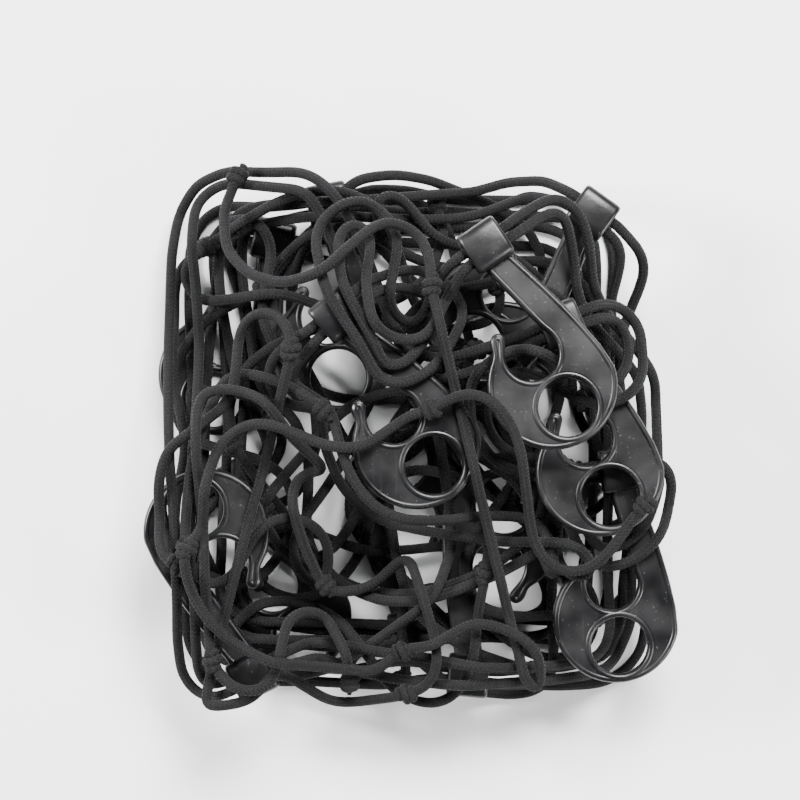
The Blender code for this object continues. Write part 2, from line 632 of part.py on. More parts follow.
def settle(all_strands):
    """Heights of every strand's points and of every hook, each as low as what lies under it lets it be."""
    first, heights = [], 0
    for strand in all_strands:
        first.append(heights)
        heights += len(strand.plan)
    hook_first = heights
    heights += len(HOOKS)
    # samples: owner, way along it, x, y, level, the two heights it hangs from, share of the second,
    # lift, half height under it and over it, half width
    rows = []
    links = []
    for owner, strand in enumerate(all_strands):
        count = len(strand.plan)
        pieces = count if strand.closed else count - 1
        for k in range(pieces):
            nxt = (k + 1) % count
            a, b = strand.plan[k], strand.plan[nxt]
            span = abs(b - a)
            by_hook = min([abs(strand.at[k] - s) for _, s in strand.hooks], default=99) < BY_HOOK
            links.append((first[owner] + k, first[owner] + nxt, span * (STEEPER if by_hook else STEEPEST)))
            steps = max(1, round(span / 1.6))
            for m in range(steps):
                t = (m + 0.5) / steps
                half = strand.halves[k] * (1 - t) + strand.halves[nxt] * t
                level = strand.levels[k] * (1 - t) + strand.levels[nxt] * t
                p = a * (1 - t) + b * t
                place = (owner, strand.at[k] + span * t, p.real, p.imag, level)
                rows.append((*place, first[owner] + k, first[owner] + nxt, t, 0.0, half, half, half))
    base = len(all_strands)
    spots = plate_spots()
    for h, hook in enumerate(HOOKS):
        middle, turn = hook_frame(hook)
        for p, top in spots:
            q = middle + p * turn
            lift = ((q - middle) * complex(hook[4][0], -hook[4][1])).real
            level = UNDERMOST - 0.2 if hook[0] in ON_THE_FLOOR else hook[3]
            place = (base + h, 0.0, q.real, q.imag, level)
            rows.append((*place, hook_first + h, hook_first + h, 0.0, lift, 0.0, top, HOOK_SPOT))
    data = np.array(rows)
    owner, along = data[:, 0].astype(int), data[:, 1]
    x, y, level, i0, i1, t, lift, down, up, half = (data[:, k] for k in range(2, 12))
    i0, i1 = i0.astype(int), i1.astype(int)

    cell = 7.0
    grid = {}
    for k, key in enumerate(zip(np.floor(x / cell).astype(int), np.floor(y / cell).astype(int))):
        grid.setdefault(key, []).append(k)
    pairs_a, pairs_b = [], []
    for (cx, cy), here in grid.items():
        for dx, dy in ((0, 0), (1, 0), (0, 1), (1, 1), (1, -1)):
            there = grid.get((cx + dx, cy + dy))
            if there is None:
                continue
            a, b = np.meshgrid(here, there, indexing="ij")
            a, b = a.ravel(), b.ravel()
            if dx == dy == 0:
                keep = a < b
                a, b = a[keep], b[keep]
            pairs_a.append(a)
            pairs_b.append(b)
    a, b = np.concatenate(pairs_a), np.concatenate(pairs_b)
    swap = (owner[a] > owner[b]) | ((owner[a] == owner[b]) & (along[a] > along[b]))
    a, b = np.where(swap, b, a), np.where(swap, a, b)
    apart = np.hypot(x[a] - x[b], y[a] - y[b])
    near = apart < half[a] + half[b] + BESIDE
    gap_along = np.abs(along[a] - along[b])
    totals = np.array([s.total for s in all_strands] + [1e9] * len(HOOKS))
    closed = np.array([s.closed for s in all_strands] + [False] * len(HOOKS))
    round_way = np.where(closed[owner[a]], np.minimum(gap_along, totals[owner[a]] - gap_along), gap_along)
    near &= (owner[a] != owner[b]) | ((round_way > ITSELF) & (owner[a] < base))
    a, b = a[near], b[near]
    # A border cord is free of the hook it runs through, and of its fellow there.
    free = np.zeros(len(a), bool)
    own_hook = np.zeros(len(a))
    for s_number, strand in enumerate(all_strands):
        for (hook, s0), (_, s1) in zip(strand.hooks[::2], strand.hooks[1::2]):
            s = (s0 + s1) / 2 if s1 > s0 else 0.0
            for mine, other in ((a, b), (b, a)):
                away = np.abs(along[mine] - s)
                away = np.minimum(away, strand.total - away)
                own = (owner[mine] == s_number) & (owner[other] == base + hook)
                free |= own & (away < RUN_UP + 1.2)
                own_hook += own & (away < 90)
                fellow = (owner[mine] == s_number) & (owner[other] >= base - 2) & (owner[other] < base)
                free |= fellow & (owner[other] != s_number) & (away < RUN_UP) & (apart[near] > 2 * PAIR - 0.6)
    a, b, own_hook = a[~free], b[~free], own_hook[~free]

    # One strand lies wholly over or under another at each meeting, whatever their levels do along it.
    meeting = owner[a] * 1000 + owner[b]
    for _ in range(3):
        for way_along in (along[a], along[b]):
            meeting = parted(meeting, way_along, MEETING_GAP)
    forced = np.bincount(meeting, own_hook) > 0
    count = np.bincount(meeting)
    floor = np.zeros(heights)
    for owner_number, strand in enumerate(all_strands):
        for k, h in enumerate(strand.halves):
            floor[first[owner_number] + k] = h + OFF_THE_FLOOR
    for hook_number in range(len(HOOKS)):
        floor[hook_first + hook_number] = max(0.0, -lift[owner == base + hook_number].min())
    link_a, link_b = (np.array([link[k] for link in links], int) for k in (0, 1))
    drop = np.array([link[2] for link in links])
    tied_v, tied_h, tied_lift = tied_points(all_strands, first, hook_first)
    share0, share1 = 1 - t, t
    power = share0**2 + share1**2
    lead = np.bincount(meeting, level[a] - level[b]) / count
    over = (lead > 0) | forced
    names = [strand.name for strand in all_strands] + [f"hook_{hook[0]}" for hook in HOOKS]
    meeting_x, meeting_y = (np.bincount(meeting, (c[a] + c[b]) / 2) / count for c in (x, y))
    meeting_a, meeting_b = (np.bincount(meeting, owner[side]) / count for side in (a, b))
    for one, two, place in SWAPPED:
        pair = {names.index(one), names.index(two)}
        theirs = [{round(p), round(q)} == pair for p, q in zip(meeting_a, meeting_b)]
        away = np.where(theirs, np.hypot(meeting_x - place[0], meeting_y - place[1]), 1e9)
        over[away.argmin()] ^= True
    over = over[meeting]
    upper, lower = np.where(over, a, b), np.where(over, b, a)
    need = down[upper] + up[lower] + CLEAR
    z = floor.copy()
    z[tied_v] = z[tied_h] + tied_lift
    for sweep in range(4000):
        zs = share0 * z[i0] + share1 * z[i1] + lift
        short = need - (zs[upper] - zs[lower])
        bad = short > 1e-3
        u, d = upper[bad], short[bad]
        rise = np.zeros(heights)
        np.maximum.at(rise, i0[u], d * share0[u] / power[u])
        np.maximum.at(rise, i1[u], d * share1[u] / power[u])
        z += rise
        for _ in range(3):
            np.maximum.at(z, link_a, z[link_b] - drop)
            np.maximum.at(z, link_b, z[link_a] - drop)
        np.maximum.at(z, tied_h, z[tied_v] - tied_lift)
        z[tied_v] = z[tied_h] + tied_lift
        if not bad.any() or z.max() > 300:
            break
    print("sweeps", sweep, "meetings", len(lead), "worst", round(short.max(), 3), "top", round(z.max(), 1))
    strand_z = [z[f : f + len(s.plan)] for f, s in zip(first, all_strands)]
    return strand_z, z[hook_first:]


def tube(strand, heights):
    """A strand as a four-sided tube. Its sides are upright, so its under side is flat where it lies flat."""
    mesh = bpy.data.meshes.new(strand.name)
    bm = bmesh.new()
    count = len(strand.plan)
    rings = []
    for k, (p, z, half) in enumerate(zip(strand.plan, heights, strand.halves)):
        before = strand.plan[(k - 1) % count] if strand.closed or k > 0 else None
        after = strand.plan[(k + 1) % count] if strand.closed or k < count - 1 else None
        into = unit(p - before) if before is not None else unit(after - p)
        out_of = unit(after - p) if after is not None else into
        way = unit(into + out_of)
        across = way * 1j * half / max(0.6, (way / into).real)
        corners = ((p + across, -half), (p + across, half), (p - across, half), (p - across, -half))
        rings.append([bm.verts.new((q.real * METRES, q.imag * METRES, (z + dz) * METRES)) for q, dz in corners])
    pairs = list(zip(rings, rings[1:]))
    if strand.closed:
        pairs.append((rings[-1], rings[0]))
    for one, two in pairs:
        for k in range(4):
            bm.faces.new((one[k], one[(k + 1) % 4], two[(k + 1) % 4], two[k]))
    if not strand.closed:
        bm.faces.new(rings[0][::-1])
        bm.faces.new(rings[-1])
    bmesh.ops.recalc_face_normals(bm, faces=bm.faces)
    bm.to_mesh(mesh)
    bm.free()
    return mesh


def arc(middle, radius, start, end, steps):
    """Points along an arc, from one angle to the other in degrees."""
    angles = [math.radians(start + (end - start) * k / steps) for k in range(steps + 1)]
    return [middle + cmath.rect(radius, angle) for angle in angles]


def hook_outline():
    shank_under = [complex(12, -20.7), complex(30, -17.6), complex(48.6, -13.2)]
    shank_over = [complex(48.6, -2.8), complex(34, -5.4)]
    throat = arc(THROAT_AT, THROAT, -58, -312, 9)
    tip = [complex(26.6, 5.6), complex(26.4, 8.6)]
    disc = arc(0, DISC, 26, 254, 12)
    return disc + shank_under + shank_over + throat + tip


def plate_mesh():
    bm = bmesh.new()
    edges = []
    for outline in (hook_outline(), arc(EYE_AT, EYE, 0, 360 - 360 / 14, 13)):
        verts = [bm.verts.new((p.real * METRES, p.imag * METRES, 0)) for p in outline]
        edges += [bm.edges.new((a, b)) for a, b in zip(verts, verts[1:] + verts[:1])]
    bmesh.ops.triangle_fill(bm, edges=edges, use_beauty=True)
    grown = bmesh.ops.extrude_face_region(bm, geom=bm.faces[:])
    up = [v for v in grown["geom"] if isinstance(v, bmesh.types.BMVert)]
    bmesh.ops.translate(bm, verts=up, vec=(0, 0, PLATE * METRES))
    bmesh.ops.recalc_face_normals(bm, faces=bm.faces)
    mesh = bpy.data.meshes.new("hook_plate")
    bm.to_mesh(mesh)
    bm.free()
    return mesh


def chamfered(wide, high, cut):
    """A rectangle with its corners cut, about the barrel's middle height."""
    x, z = wide / 2, high / 2
    right = [(x, -z + cut), (x, z - cut), (x - cut, z)]
    left = [(-x + cut, z), (-x, z - cut), (-x, -z + cut), (-x + cut, -z)]
    return [*right, *left, (x - cut, -z)]


def barrel_mesh():
    """The sleeve at the shank's end, with the slot that the two border cords run through."""
    bm = bmesh.new()
    rings = []
    for y in (-BARREL_LONG / 2, BARREL_LONG / 2):
        for wide, high, cut in ((BARREL_WIDE, BARREL_HIGH, 2.4), (SLOT_WIDE, SLOT_HIGH, 0.9)):
            ring = []
            for x, z in chamfered(wide, high, cut):
                place = Vector((x + BARREL_AT.real, y + BARREL_AT.imag, z + BARREL_HIGH / 2)) * METRES
                ring.append(bm.verts.new(place))
            rings.append(ring)
    outer0, inner0, outer1, inner1 = rings
    for one, two in ((outer0, outer1), (inner0, inner1), (outer0, inner0), (outer1, inner1)):
        for k in range(8):
            bm.faces.new((one[k], one[(k + 1) % 8], two[(k + 1) % 8], two[k]))
    bmesh.ops.recalc_face_normals(bm, faces=bm.faces)
    mesh = bpy.data.meshes.new("hook_barrel")
    bm.to_mesh(mesh)
    bm.free()
    return mesh


def hook_mesh():
    """The plate with its barrel joined on."""
    plate = bpy.data.objects.new("plate_blank", plate_mesh())
    barrel = bpy.data.objects.new("barrel_blank", barrel_mesh())
    for blank in (plate, barrel):
        bpy.context.scene.collection.objects.link(blank)
        blank.hide_render = True
        blank.display_type = "WIRE"
    join = plate.modifiers.new("barrel", "BOOLEAN")
    join.operation = "UNION"
    join.object = barrel
    mesh = bpy.data.meshes.new_from_object(plate.evaluated_get(bpy.context.evaluated_depsgraph_get()))
    for blank in (plate, barrel):
        bpy.data.objects.remove(blank)
    return mesh


def finish(name, colour, roughness):
    material = bpy.data.materials.new(name)
    material.use_nodes = True
    shader = material.node_tree.nodes["Principled BSDF"]
    shader.inputs["Base Color"].default_value = colour
    shader.inputs["Roughness"].default_value = roughness
    shader.inputs["Metallic"].default_value = 0.0
    return material


def put(name, mesh, material, matrix=None):
    obj = bpy.data.objects.new(name, mesh)
    mesh.materials.clear()
    mesh.materials.append(material)
    bpy.context.scene.collection.objects.link(obj)
    if matrix is not None:
        obj.matrix_world = matrix
    return obj


def hook_matrix(hook, height):
    """Where a hook lies: its direction in the plan, its tilt, and the height of its under side."""
    middle, turn = hook_frame(hook)
    normal = Vector((-hook[4][0], -hook[4][1], 1)).normalized()
    along = Vector((turn.real, turn.imag, 0))
    along = (along - normal * along.dot(normal)).normalized()
    across = normal.cross(along)
    turned = Matrix((along, across, normal)).transposed().to_4x4()
    return Matrix.Translation(Vector((middle.real, middle.imag, height)) * METRES) @ turned


def build():
    for obj in list(bpy.data.objects):
        bpy.data.objects.remove(obj)
    all_strands = strands()
    strand_heights, hook_heights = settle(all_strands)
    print("cord", round(sum(s.total for s in all_strands)), "points", sum(len(s.plan) for s in all_strands))
    for strand, heights in zip(all_strands, strand_heights):
        put(strand.name, tube(strand, heights), finish(strand.name, BLACK_CORD, 0.9))
    mesh = hook_mesh()
    for hook, height in zip(HOOKS, hook_heights):
        name = f"hook_{hook[0]}"
        put(name, mesh.copy(), finish(name, BLACK_PLASTIC, 0.42), hook_matrix(hook, height))
    center()


def center():
    """Brings the middle of the heap's bounding box to x = y = 0. The hooks on the floor stay at z = 0."""
    bpy.context.view_layer.update()
    corners = [obj.matrix_world @ v.co for obj in bpy.data.objects for v in obj.data.vertices]
    shift = [-(min(axis) + max(axis)) / 2 for axis in list(zip(*corners))[:2]]
    for obj in bpy.data.objects:
        obj.location += Vector((*shift, 0))


build()
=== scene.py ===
# %% [markdown]
# # An elastic cargo net, gathered into a flat heap
# The real thing is a net of black elastic cord with plastic hooks round its border. It is pushed together
# into a flat heap and seen from straight above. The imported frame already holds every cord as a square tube
# and every hook as a plain plate. This lesson dresses them: round braided cords with tied knots and loose
# fibres, and moulded hooks with beads, rims and rounded sleeves.

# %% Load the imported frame
import cmath
import math
import random

import bmesh
import bpy
import numpy as np
from mathutils import Matrix, Vector


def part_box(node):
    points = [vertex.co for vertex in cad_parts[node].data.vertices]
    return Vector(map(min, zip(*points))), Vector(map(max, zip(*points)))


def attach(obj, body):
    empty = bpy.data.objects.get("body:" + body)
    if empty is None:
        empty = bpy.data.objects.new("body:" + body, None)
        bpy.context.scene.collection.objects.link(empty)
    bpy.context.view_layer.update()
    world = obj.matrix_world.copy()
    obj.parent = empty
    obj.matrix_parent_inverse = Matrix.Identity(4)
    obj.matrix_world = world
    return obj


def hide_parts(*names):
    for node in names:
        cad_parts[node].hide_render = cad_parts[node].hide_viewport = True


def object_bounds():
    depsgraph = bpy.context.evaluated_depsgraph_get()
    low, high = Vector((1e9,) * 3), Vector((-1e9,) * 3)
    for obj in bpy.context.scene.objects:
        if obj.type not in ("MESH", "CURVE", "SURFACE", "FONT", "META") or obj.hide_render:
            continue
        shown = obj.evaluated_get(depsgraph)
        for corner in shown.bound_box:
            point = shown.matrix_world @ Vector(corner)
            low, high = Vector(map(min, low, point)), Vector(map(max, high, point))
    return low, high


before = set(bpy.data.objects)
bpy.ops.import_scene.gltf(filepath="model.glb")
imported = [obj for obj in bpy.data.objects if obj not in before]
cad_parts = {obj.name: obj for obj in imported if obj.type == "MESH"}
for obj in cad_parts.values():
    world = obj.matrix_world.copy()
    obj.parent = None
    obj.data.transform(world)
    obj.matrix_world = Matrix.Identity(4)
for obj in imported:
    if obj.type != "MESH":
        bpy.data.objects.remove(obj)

MM = 0.001
cad_box = [[float(v) for v in corner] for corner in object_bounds()]
cords = sorted(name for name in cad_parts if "cord" in name)
hooks = sorted(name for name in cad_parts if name.startswith("hook"))
print("cords", len(cords), "hooks", len(hooks))
print("box in mm", [[round(v / MM) for v in corner] for corner in cad_box])

# %% [markdown]
# ## The camera
# The picture was taken from straight above, so the camera looks down and the top of the picture is +Y. A
# long lens from about a metre away keeps the sides of the heap from showing. The scale and the middle come
# from the picture: 2.8 pixels are one millimetre three quarters of the way up the heap, and the picture's
# middle is a little above the heap's.

# %% Look straight down
PICTURE_PX = 800
PX_PER_MM = 2.8
HEAP_MIDDLE_PX = (411.0, 437.0)
SCALE_AT = 0.75  # the height at which the scale holds, as a share of the heap's height
CAMERA_ABOVE = 1.0  # metres above that height
SENSOR = 36.0

camera_data = bpy.data.cameras.new("camera")
camera_data.sensor_width = SENSOR
seen_wide = PICTURE_PX / PX_PER_MM * MM
camera_data.lens = SENSOR * CAMERA_ABOVE / seen_wide
camera = bpy.data.objects.new("camera", camera_data)
look_x = (PICTURE_PX / 2 - HEAP_MIDDLE_PX[0]) / PX_PER_MM * MM
look_y = (HEAP_MIDDLE_PX[1] - PICTURE_PX / 2) / PX_PER_MM * MM
heap_high = cad_box[1][2]
camera.location = (look_x, look_y, heap_high * SCALE_AT + CAMERA_ABOVE)
bpy.context.scene.collection.objects.link(camera)
bpy.context.scene.camera = camera
print("lens", round(camera_data.lens), "mm, sees", round(seen_wide / MM), "mm")

# %% [markdown]
# ## Floor and light
# A plain pale floor and soft lamps stand for a product table. Black cord shows its shape only through the
# light on its fibres, so the largest lamp hangs behind and over the heap and two lower ones rake across it
# from the sides.

# %% Floor, sky and lamps
FLOOR_REACH, FLOOR_AT = 3.0, -0.1 * MM  # a hair under the hooks' flat under sides
floor_mesh = bpy.data.meshes.new("floor")
floor_mesh.from_pydata(
    [(x * FLOOR_REACH, y * FLOOR_REACH, FLOOR_AT) for x, y in ((-1, -1), (1, -1), (1, 1), (-1, 1))],
    [],
    [(0, 1, 2, 3)],
)
floor = bpy.data.objects.new("floor", floor_mesh)
bpy.context.scene.collection.objects.link(floor)

SKY_COLOUR, SKY_STRENGTH = (0.93, 0.95, 1.0, 1), 0.24
world = bpy.data.worlds.new("soft_sky")
world.use_nodes = True
sky = world.node_tree.nodes["Background"]
sky.inputs["Color"].default_value = SKY_COLOUR
sky.inputs["Strength"].default_value = SKY_STRENGTH
bpy.context.scene.world = world

# name, place (m), width (m), watts
LAMPS = (
    ("lamp_over", (0.25, 0.75, 1.15), 0.5, 78.0),
    ("lamp_left", (-0.95, 0.25, 0.75), 0.35, 42.0),
    ("lamp_right", (0.85, -0.45, 0.65), 0.3, 18.0),
)
LAMPS_AIM = Vector((0, 0, 0.03))
for name, place, width, watts in LAMPS:
    lamp_data = bpy.data.lights.new(name, "AREA")
    lamp_data.shape = "SQUARE"
    lamp_data.size = width
    lamp_data.energy = watts
    lamp = bpy.data.objects.new(name, lamp_data)
    lamp.location = place
    lamp.rotation_euler = (LAMPS_AIM - Vector(place)).to_track_quat("-Z", "Y").to_euler()
    bpy.context.scene.collection.objects.link(lamp)
print("lamps", len(LAMPS))

# %% [markdown]
# ## Reading a cord's way back from its solid
# Each cord in the frame is a tube with a square section whose sides stand upright. Two upright edges, or
# posts, stand at each ring of the tube, and a wall joins each post to the next one. Following the walls
# gives the posts in their order, and the middle of two facing posts is a point of the cord's way. The route
# could also be worked out anew from the plan of the net, but then the dressed cord might drift away from
# the solid that carries it.

# %% Posts, walls and rings
MICRON = 1e-6


def posts_and_walls(mesh):
    """The heights of each post, by its place in microns, and the posts that share a wall with it."""
    heights, walls = {}, {}
    for face in mesh.polygons:
        corners = [mesh.vertices[k].co for k in face.vertices]
        places = [(round(c.x / MICRON), round(c.y / MICRON)) for c in corners]
        for place, corner in zip(places, corners):
            heights.setdefault(place, set()).add(corner.z)
        if len(set(places)) == 2:
            one, two = sorted(set(places))
            walls.setdefault(one, set()).add(two)
            walls.setdefault(two, set()).add(one)
    return heights, walls


def in_order(walls):
    """The posts, followed from wall to wall until each chain closes."""
    waiting, chains = set(walls), []
    while waiting:
        chain = [min(waiting)]
        waiting.discard(chain[0])
        while True:
            ahead = sorted(place for place in walls[chain[-1]] if place in waiting)
            if not ahead:
                break
            chain.append(ahead[0])
            waiting.discard(ahead[0])
        chains.append(chain)
    return chains


def cord_rings(name):
    """The middle of each ring of a cord (m), half its height, and whether the cord is a closed ring."""
    heights, walls = posts_and_walls(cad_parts[name].data)
    chains = in_order(walls)
    closed = len(chains) == 2
    sides = (chains[0], chains[-1])
    own, facing = (np.array([complex(*place) * MICRON for place in chain]) for chain in sides)
    fits = []
    for turn in (1, -1) if closed else (-1,):
        for k in range(len(own)):
            fits.append((np.abs(own - np.roll(facing[::turn], k)).sum(), turn, k))
    _, turn, k = min(fits)
    middle = (own + np.roll(facing[::turn], k)) / 2
    low = np.array([min(heights[place]) for place in chains[0]])
    high = np.array([max(heights[place]) for place in chains[0]])
    if not closed:
        # An open cord's two sides are one chain, so its rings are met twice. One end cap is the start.
        first = ((len(own) - 1 + k) % len(own) - 1) // 2 + 1
        middle, low, high = (np.roll(values, -first)[: len(own) // 2] for values in (middle, low, high))
    points = np.stack([middle.real, middle.imag, (low + high) / 2], axis=1)
    return points, (high - low) / 2, closed


rings = {name: cord_rings(name) for name in cords}
for name, (points, half, closed) in rings.items():
    length = np.linalg.norm(np.diff(points, axis=0), axis=1).sum()
    print(name, "rings", len(points), "length", round(length, 3), "m", "closed" if closed else "open")

# %% [markdown]
# ## A smooth line through the rings
# The rings of a solid lie up to 12 mm apart, which is coarse. A real cord bends smoothly, so a curve with a
# tangent at each ring runs through them. The tangents take the uneven distances into account, or the line
# would swing out beside every knot, where the rings are close together. A few rounds of averaging then take
# the corners out. The heights may change only a little in this, because each cord must stay above the one
# that it lies on.

# %% Smooth lines
CORD_RADIUS = 1.9 * MM
LINE_STEP = 1.6 * MM
STRAIGHT_RUN = 14 * MM  # a longer piece is the straight run through a hook's sleeve
HELD_AT = 0.15  # share of that run from each end to the point that holds it straight


def held_straight(points, half, closed):
    """The rings, with two more points in each straight run so that the curve stays straight there."""
    out, out_half = [], []
    count = len(points)
    for k in range(count if closed else count - 1):
        here, ahead = points[k], points[(k + 1) % count]
        out.append(here)
        out_half.append(half[k])
        if np.linalg.norm(ahead - here) > STRAIGHT_RUN:
            out += [here + (ahead - here) * share for share in (HELD_AT, 1 - HELD_AT)]
            out_half += [half[k]] * 2
    if not closed:
        out.append(points[-1])
        out_half.append(half[-1])
    return np.array(out), np.array(out_half)


def smooth_line(points, closed):
    """A curve through the points, in steps of LINE_STEP, and where each given point lies in it."""
    if closed:
        points = np.concatenate([points, points[:1]])
    spans = np.linalg.norm(np.diff(points, axis=0), axis=1)
    slopes = np.diff(points, axis=0) / spans[:, None]
    tangents = np.empty_like(points)
    weight = (spans[:-1] / (spans[:-1] + spans[1:]))[:, None]
    tangents[1:-1] = slopes[1:] * weight + slopes[:-1] * (1 - weight)
    if closed:
        share = spans[-1] / (spans[-1] + spans[0])
        tangents[0] = tangents[-1] = slopes[0] * share + slopes[-1] * (1 - share)
    else:
        tangents[0], tangents[-1] = slopes[0], slopes[-1]
    line, places = [], []
    for k, span in enumerate(spans):
        places.append(len(line))
        pieces = max(1, round(span / LINE_STEP))
        for t in np.arange(pieces) / pieces:
            line.append(
                points[k] * (2 * t**3 - 3 * t**2 + 1)
                + tangents[k] * span * (t**3 - 2 * t**2 + t)
                + points[k + 1] * (3 * t**2 - 2 * t**3)
                + tangents[k + 1] * span * (t**3 - t**2)
            )
    if not closed:
        places.append(len(line))
        line.append(points[-1])
    return np.array(line), places


def relaxed(line, closed, passes):
    """The line after some rounds of averaging each point with its neighbours; an open line keeps its ends."""
    for _ in range(passes):
        moved = line / 2 + (np.roll(line, 1, axis=0) + np.roll(line, -1, axis=0)) / 4
        if not closed:
            moved[0], moved[-1] = line[0], line[-1]
        line = moved
    return line


ROUNDS_LEVEL, ROUNDS_HIGH = 9, 7  # of averaging, in plan and in height
MOST_MOVED = 0.35 * MM  # up or down
OVER_FLOOR = CORD_RADIUS * 1.05  # the lowest that a cord's middle lies
lines = {}
for name, (points, half, closed) in rings.items():
    points, half = held_straight(points, half, closed)
    line, places = smooth_line(points, closed)
    line[:, :2] = relaxed(line[:, :2], closed, ROUNDS_LEVEL)
    rounded = relaxed(line[:, 2:], closed, ROUNDS_HIGH)
    rounded = np.clip(rounded, line[:, 2:] - MOST_MOVED, line[:, 2:] + MOST_MOVED)
    line[:, 2:] = np.maximum(relaxed(rounded, closed, 1), OVER_FLOOR)
    lines[name] = (line, places, half, closed)
print("points in all lines", sum(len(line) for line, *_ in lines.values()))

# %% [markdown]
# ## From a line to a round cord
# A bevelled curve object would give a round cord at once. Here the tube is made ring by ring instead,
# because the braid in the material needs to know how far along the cord and how far round it each point is.
# Those two numbers are the UV map: one unit of u is a centimetre along, and one unit of v is once round.

# %% Swept tubes
CORD_SIDES = 10
U_UNIT = 10 * MM
UV_NAME = "along_and_round"
LOWEST = 0.02 * MM  # a knot on the floor is pressed flat there
START_SIDE = (0.1, 0.2, 1)  # any direction that no winding starts along


def directions(line, closed):
    """The way of the line at each of its points."""
    if closed:
        ways = np.roll(line, -1, axis=0) - np.roll(line, 1, axis=0)
    else:
        ways = np.gradient(line, axis=0)
    return ways / np.linalg.norm(ways, axis=1)[:, None]


def across_line(line, closed, carried):
    """Two directions across the line at each point: level and up, or carried along without twist."""
    ways = directions(line, closed)
    if not carried:
        level = np.cross(ways, (0, 0, 1))
        level /= np.linalg.norm(level, axis=1)[:, None]
        return level, np.cross(level, ways)
    side = np.cross(ways[0], START_SIDE)
    sides = []
    for way in ways:
        side = side - way * side.dot(way)
        side /= np.linalg.norm(side)
        sides.append(side)
    level = np.array(sides)
    return level, np.cross(level, ways)


class Shell:
    """Points, faces and their UV places, gathered for one mesh."""

    def __init__(self):
        self.points, self.faces, self.uvs = [], [], []

    def sweep(self, line, radii, sides=CORD_SIDES, closed=False, carried=False, flat=1.0):
        """A tube along the line; flat is its height as a share of its width."""
        level, up = across_line(line, closed, carried)
        run = np.concatenate([[0], np.cumsum(np.linalg.norm(np.diff(line, axis=0), axis=1))]) / U_UNIT
        base, count = len(self.points), len(line)
        radii = np.broadcast_to(radii, count)
        for side in range(sides):
            angle = 2 * math.pi * side / sides
            ring = line + (level * math.cos(angle) + up * math.sin(angle) * flat) * radii[:, None]
            self.points.extend(ring.tolist())

        def corner(k, side):
            return base + (side % sides) * count + k % count

        for k in range(count if closed else count - 1):
            u0 = run[k]
            u1 = run[k + 1] if k + 1 < count else u0 + (run[1] - run[0])
            for side in range(sides):
                v0, v1 = side / sides, (side + 1) / sides
                here = (corner(k, side), corner(k, side + 1))
                ahead = (corner(k + 1, side + 1), corner(k + 1, side))
                self.faces.append(here + ahead)
                self.uvs.extend([(u0, v0), (u0, v1), (u1, v1), (u1, v0)])
        if not closed:
            for k, order in ((0, range(sides - 1, -1, -1)), (count - 1, range(sides))):
                self.faces.append([corner(k, side) for side in order])
                self.uvs.extend([(run[k], side / sides) for side in order])

    def mesh(self, name):
        """The mesh, with its UV map and its normals outwards."""
        mesh = bpy.data.meshes.new(name)
        points = [(x, y, max(z, LOWEST)) for x, y, z in self.points]
        mesh.from_pydata(points, [], self.faces)
        uv_layer = mesh.uv_layers.new(name=UV_NAME)
        uv_layer.data.foreach_set("uv", [value for uv in self.uvs for value in uv])
        fixed = bmesh.new()
        fixed.from_mesh(mesh)
        bmesh.ops.recalc_face_normals(fixed, faces=fixed.faces)
        fixed.to_mesh(mesh)
        fixed.free()
        mesh.shade_smooth()
        return mesh


print("sides of a cord", CORD_SIDES)

# %% [markdown]
# ## Knots
# Where a long cord and a cross cord meet, both are tied, and each net cord's end is tied round the border.
# From above a knot is a small tight lump in which two or three turns of cord show. A full knot could be
# drawn as one path, but it would be too small to read. A short winding round the cord's own way looks much
# the same, and its ends run back into the cord. The solids have raised lumps at the same places, one on each
# of the two cords of a meeting.

# %% Wound knots
KNOT_FROM = 2.3 * MM  # a ring with more than this half height belongs to a knot
KNOT_TURNS = 2.6
KNOT_REACH = 3.5 * MM
KNOT_WIDE, KNOT_HIGH = 2.35 * MM, 1.25 * MM
KNOT_CORD = 1.72 * MM
KNOT_ENDS = 0.82  # thickness of the winding's ends as a share of its middle's
KNOT_POINTS = 46
KNOT_SLANT, SLANT_AHEAD = 0.9 * MM, 0.8  # how far the turns lean along the cord, and where they lean most
KNOT_FULL = 0.4  # the smaller, the blunter the knot's ends


def knot_places(places, half):
    """Where the knots lie in the line: the first and the last of each run of high rings."""
    high = [k for k in range(len(half)) if half[k] > KNOT_FROM]
    found, k = [], 0
    while k < len(high):
        last = k
        while last + 1 < len(high) and high[last + 1] == high[last] + 1:
            last += 1
        found.append((high[k], high[last]))
        k = last + 1
    return [(places[first], places[second]) for first, second in found]


def winding(middle, way, turn):
    """The line of a knot's winding: round the cord's way, thickest in the middle."""
    way = way / np.linalg.norm(way)
    level = np.cross(way, (0, 0, 1))
    level /= np.linalg.norm(level)
    up = np.cross(level, way)
    share = np.linspace(0, 1, KNOT_POINTS)
    angle = 2 * math.pi * KNOT_TURNS * share + turn
    swell = np.sin(math.pi * share) ** KNOT_FULL
    along = (share - 0.5) * 2 * KNOT_REACH
    slant = KNOT_SLANT * np.cos(angle + SLANT_AHEAD)
    return (
        middle
        + way * (along + slant * swell)[:, None]
        + level * (np.cos(angle) * swell * KNOT_WIDE)[:, None]
        + up * (np.sin(angle) * swell * KNOT_HIGH)[:, None]
    )


knots = {}
for name, (line, places, half, closed) in lines.items():
    knots[name] = []
    for first, last in knot_places(places, half):
        middle = (line[first] + line[last]) / 2
        way = line[min(last + 1, len(line) - 1)] - line[max(first - 1, 0)]
        knots[name].append((middle, way))
print("knot windings", sum(len(found) for found in knots.values()))

# %% [markdown]
# ## Loose fibres
# The braid's polyester yarn frays a little, and light catches the loose fibres at the edge of each cord.
# Hair particles would be lost when the model is exported. Short closed needles, added to the cord's own
# mesh, stay. They stand thicker at the knots, where the cord has been handled.

